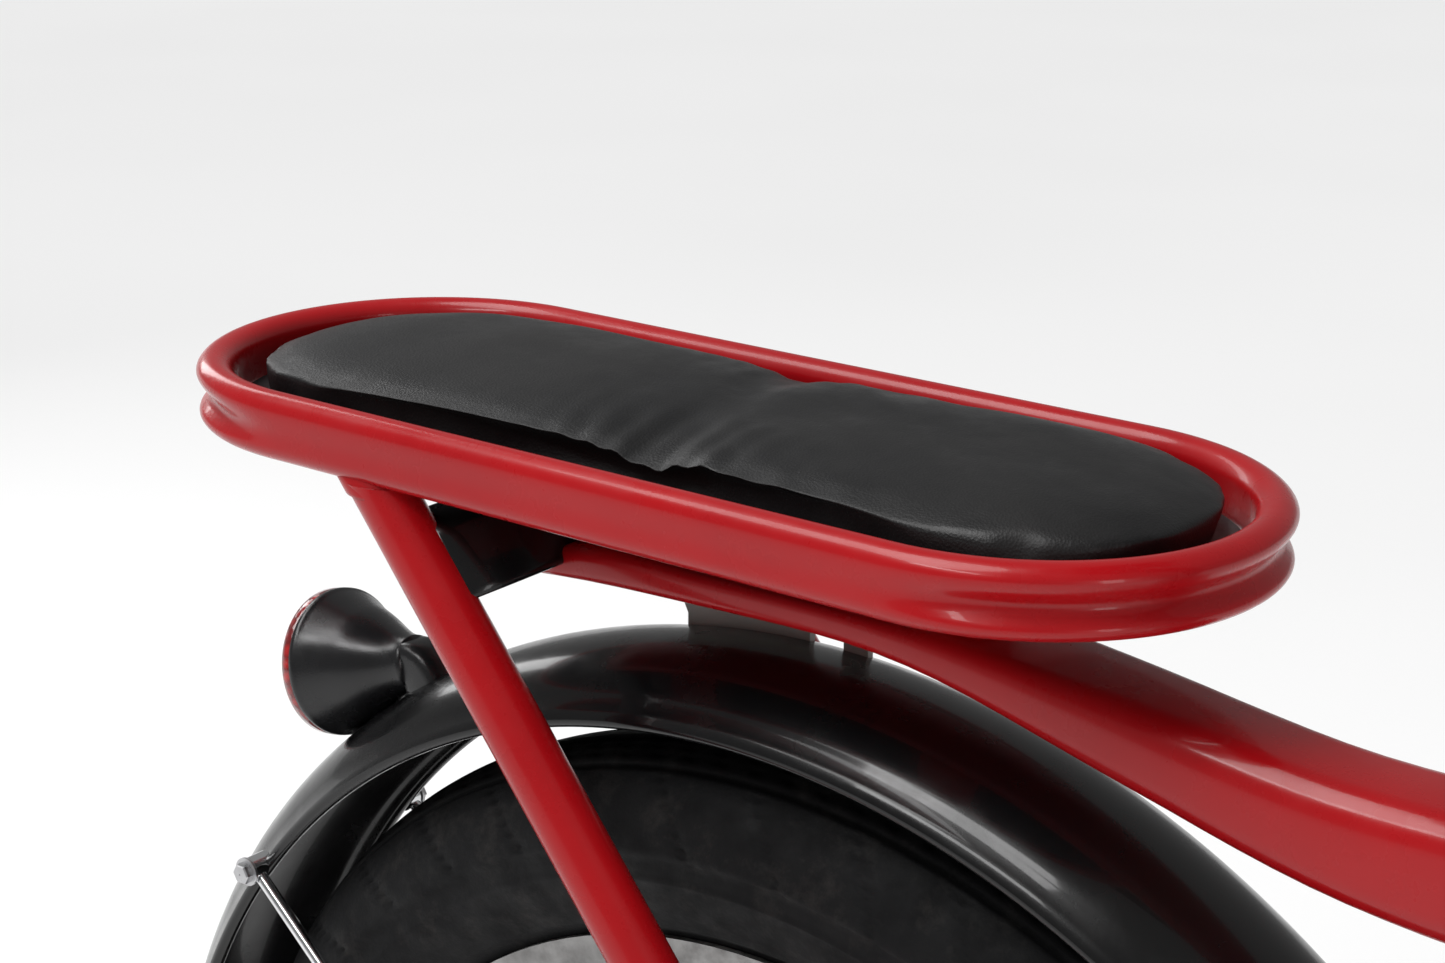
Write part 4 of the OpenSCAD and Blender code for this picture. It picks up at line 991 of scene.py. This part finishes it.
def make_chain():
    """Inner and outer links with their rollers and pins, at the pitch of the sprockets."""
    line = chain_line()
    length = sum((b - a).length for a, b in zip(line, line[1:]))
    links = 2 * round(length / (12.7 * MM) / 2)
    at = resample(line, links + 1)[:-1]
    verts, faces = [], []

    def add(piece):
        base = len(verts)
        verts.extend(piece[0])
        faces.extend(tuple(base + i for i in face) for face in piece[1])

    for i, point in enumerate(at):
        after = at[(i + 1) % links]
        mid = (point + after) / 2
        along = (after - point).normalized()
        lift = Vector((0, 1, 0)).cross(along)
        outer = i % 2 == 0
        for side in (1, -1):
            inner_face = side * (2.55 * MM if outer else 1.45 * MM)
            outline = plate_outline((after - point).length, 2.6 * MM, 3.7 * MM, 6)
            rings = [[mid + along * u + lift * v + Vector((0, inner_face + side * t, 0))
                      for u, v in outline] for t in (0.0, 0.9 * MM)]
            add(skin(rings))
        half = 3.6 * MM
        rings = [[point + Vector((c, h, s)) for c, s in circle_points(1.5 * MM, 8)]
                 for h in (-half, half)]
        add(skin(rings))
        rings = [[point + Vector((c, h, s)) for c, s in circle_points(3.0 * MM, 10)]
                 for h in (-1.4 * MM, 1.4 * MM)]
        add(skin(rings))
    chain = mesh_object("chain_links", verts, faces)
    finish_piece(chain, STEEL, "frame", ["chain"], smooth=False)


# Small parts --------------------------------------------------------------------------------

def bolt(name, place, axis, radius, body, material=None, sides=6):
    """A bolt head on its washer."""
    place, axis = Vector(place), Vector(axis).normalized()
    washer = turned([(0.3 * MM, -0.2 * MM), (radius * 1.35, -0.2 * MM), (radius * 1.35, 0.9 * MM),
                     (0.3 * MM, 0.9 * MM)], place, axis, 36)
    head = turned([(0.3 * MM, 0.8 * MM), (radius, 0.8 * MM), (radius, radius * 0.85),
                   (radius * 0.86, radius * 0.98), (0.3 * MM, radius * 1.0)], place, axis, sides)
    verts = washer[0] + head[0]
    faces = washer[1] + [tuple(len(washer[0]) + i for i in f) for f in head[1]]
    return finish_piece(mesh_object(name, verts, faces), material or STEEL, body,
                        smooth=False)


def make_welds():
    """Fillets where the struts and the tubes are joined."""
    for side, name in ((1, "left"), (-1, "right")):
        low, high = (Vector(c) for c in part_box("strut_" + name))
        y = (low.y + high.y) / 2
        radius = (high.y - low.y) / 2
        top = Vector((low.x + radius * 1.12, y, high.z))
        foot = Vector((high.x - radius, y, low.z + radius))
        axis = (foot - top).normalized()
        fillet = []
        steps = 8
        for i in range(steps + 1):
            t = i / steps
            drop = (7.5 * t - 3.5) * MM
            centre = top + axis * (drop / -axis.z)
            spread = (1 - t) ** 2.2
            ring = []
            for c, s in circle_points(1.0, 44):
                reach = radius + 0.15 * MM
                out_y = s * (reach + (3.0 if s * side < 0 else -2.5) * MM * spread)
                ring.append(centre + Vector((c * (reach / -axis.z + 3.5 * MM * spread), out_y, 0)))
            fillet.append(ring)
        joint = mesh_object("strut_fillet_" + name, *skin(fillet))
        finish_piece(joint, RED, "frame")
        weld("strut_foot_weld_" + name, foot - axis * 12 * MM, -axis, radius * 1.02, "frame",
             thick=2.4 * MM)
    tube_low, tube_high = (Vector(c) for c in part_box("bb_shell"))
    mid = (tube_low + tube_high) / 2
    up = Vector((-0.309, 0, 0.951))
    weld("seat_tube_weld", mid + up * 21 * MM, up, 17.2 * MM, "frame", thick=2.4 * MM)


def make_cross_tube():
    """The flat tube that ties the two struts together behind the beam, painted black as painted
    shade for the shadow it lies in.
    """
    low, high = (Vector(c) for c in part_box("cross_member"))
    centre = Vector(((low.x + high.x) / 2 + 0.007, 0, low.z + 0.0135))
    half = (high.y - low.y) / 2 - 0.0005
    section = [(u - 0.75 * v, v) for u, v in rounded_box_points(0.020, 0.0235, 0.004)]
    rings = [[centre + Vector((u, half * t, v)) for u, v in section]
             for t in (-1, -0.5, 0, 0.5, 1)]
    tube = mesh_object("cross_tube", *skin(rings))
    # The black paint here is painted shade: the red frame's cross member lies in the shadow of the
    # hoop and the strut.
    finish_piece(tube, BLACK, "frame", ["cross_member"])


def make_straps():
    """Two pressed cross straps under the pad, with their risers to the beam."""
    low, high = (Vector(c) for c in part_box("seat_straps"))
    top = high.z
    half = HOOP_HALF_W - HOOP_TUBE_W - 1.5 * MM
    width = 30 * MM
    places = (("rear", low.x + width / 2, 27 * MM), ("front", high.x - width / 2, 31 * MM))
    for name, x, reach in places:
        rings = []
        for share in (-1.0, -0.96, -0.3, 0.3, 0.96, 1.0):
            thin = 0.45 if abs(share) > 0.98 else 1.0
            narrow = 0.8 if thin < 1 else 1.0
            rings.append([
                Vector((x + u * narrow, share * half, top - 2.25 * MM + v * thin))
                for u, v in rounded_box_points(width, 4.4 * MM, 1.6 * MM, 4)])
        strap = mesh_object("seat_strap_" + name, *skin(rings))
        finish_piece(strap, RED, "frame", ["seat_straps"] if name == "rear" else ())
        path = [Vector((x, 0, top - 2 * MM)), Vector((x, 0, top - reach))]
        riser = mesh_object("seat_riser_" + name, *sweep(
            path, rounded_box_points(26 * MM, 26 * MM, 4 * MM, 4), up=Vector((1, 0, 0))))
        finish_piece(riser, RED, "frame")


def make_valves():
    """A tyre valve with its cap inside each rim."""
    wheels = (("rear", REAR, "rear_wheel", 205), ("front", FRONT, "front_wheel", 245))
    for name, centre, body, turn in wheels:
        a = math.radians(turn)
        radial = Vector((math.cos(a), 0, math.sin(a)))
        start = centre + radial * (RIM_R - 10 * MM)
        profile = [(0.3 * MM, 0), (4.0 * MM, 0), (3.6 * MM, 6 * MM), (3.0 * MM, 8 * MM),
                   (3.0 * MM, 18 * MM), (3.9 * MM, 18.5 * MM), (3.9 * MM, 26 * MM),
                   (3.2 * MM, 28 * MM), (0.3 * MM, 28.2 * MM)]
        valve = mesh_object(name + "_valve", *turned(profile, start, -radial, 24))
        finish_piece(valve, RUBBER, body)


def make_bolts():
    """Bolts of the rear stays, caps on the cranks and rubber treads on the pedals."""
    for side, name in ((1, "left"), (-1, "right")):
        y = side * (FENDER_HALF + 6 * MM)
        a = math.radians(142)
        r = FENDER_R - FENDER_DEPTH + 5 * MM
        bolt("rear_stay_bolt_" + name,
             (REAR.x + r * math.cos(a), y, REAR.z + r * math.sin(a)),
             (0, side, 0), 4.2 * MM, "frame")
        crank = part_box("crank_arm_" + name)
        face = crank[1][1] if side > 0 else crank[0][1]
        spindle = middle("crank_spindle")
        cap = turned([(0.3 * MM, 0), (9.0 * MM, 0), (9.0 * MM, 1.0 * MM), (7.5 * MM, 2.0 * MM),
                      (0.3 * MM, 2.4 * MM)], (spindle.x, face + side * 1.0 * MM, spindle.z),
                     (0, side, 0), 40)
        finish_piece(mesh_object("crank_cap_" + name, *cap), PLASTIC, "crank")
        for node, body in (("pedal_" + name, name + "_pedal"),):
            low, high = (Vector(c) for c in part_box(node))
            mid = (low + high) / 2
            for end, end_name in ((1, "front"), (-1, "rear")):
                for tread in (-1, 1):
                    strip = mesh_object(
                        "pedal_tread_%s_%s_%d" % (name, end_name, tread + 1),
                        *skin([[Vector((mid.x + end * (high.x - low.x) * 0.40 + u,
                                        mid.y + t * (high.y - low.y) * 0.40,
                                        mid.z + tread * ((high.z - low.z) / 2 + 0.6 * MM) + v))
                                for u, v in rounded_box_points(9 * MM, 2.4 * MM, 1.0 * MM, 3)]
                               for t in (-1, 1)]))
                    finish_piece(strip, RUBBER, body)


def make_headlight_rim():
    """A bright ring round the headlight's glass."""
    low, high = (Vector(c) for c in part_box("headlight_lens"))
    mid = (low + high) / 2
    r = (high.z - low.z) / 2
    profile = [(r + 0.4 * MM, -5 * MM), (r + 3.4 * MM, -5 * MM), (r + 4.0 * MM, -2 * MM),
               (r + 3.4 * MM, 2.4 * MM), (r + 1.4 * MM, 3.6 * MM), (r + 0.2 * MM, 2.0 * MM)]
    ring = mesh_object("headlight_ring", *turned(
        profile, (high.x - 2.5 * MM, 0, mid.z), (1, 0, 0), 80))
    finish_piece(ring, CHROME, "fork")


# The whole scene ------------------------------------------------------------------------

def build():
    dress_cad_nodes()
    make_hoop()
    make_passenger_pad()
    make_beam()
    make_fender("rear_fender_shell", "rear_fender", REAR, "frame")
    make_fender("front_fender_shell", "front_fender", FRONT, "fork")
    make_tyre("rear_tyre_tread", "rear_tyre", REAR, "rear_wheel")
    make_tyre("front_tyre_tread", "front_tyre", FRONT, "front_wheel")
    make_tail_light()
    make_saddle()
    make_handlebar()
    make_grips()
    make_chain()
    make_welds()
    make_cross_tube()
    make_straps()
    make_valves()
    make_bolts()
    make_headlight_rim()
    make_camera()
    make_studio()


build()
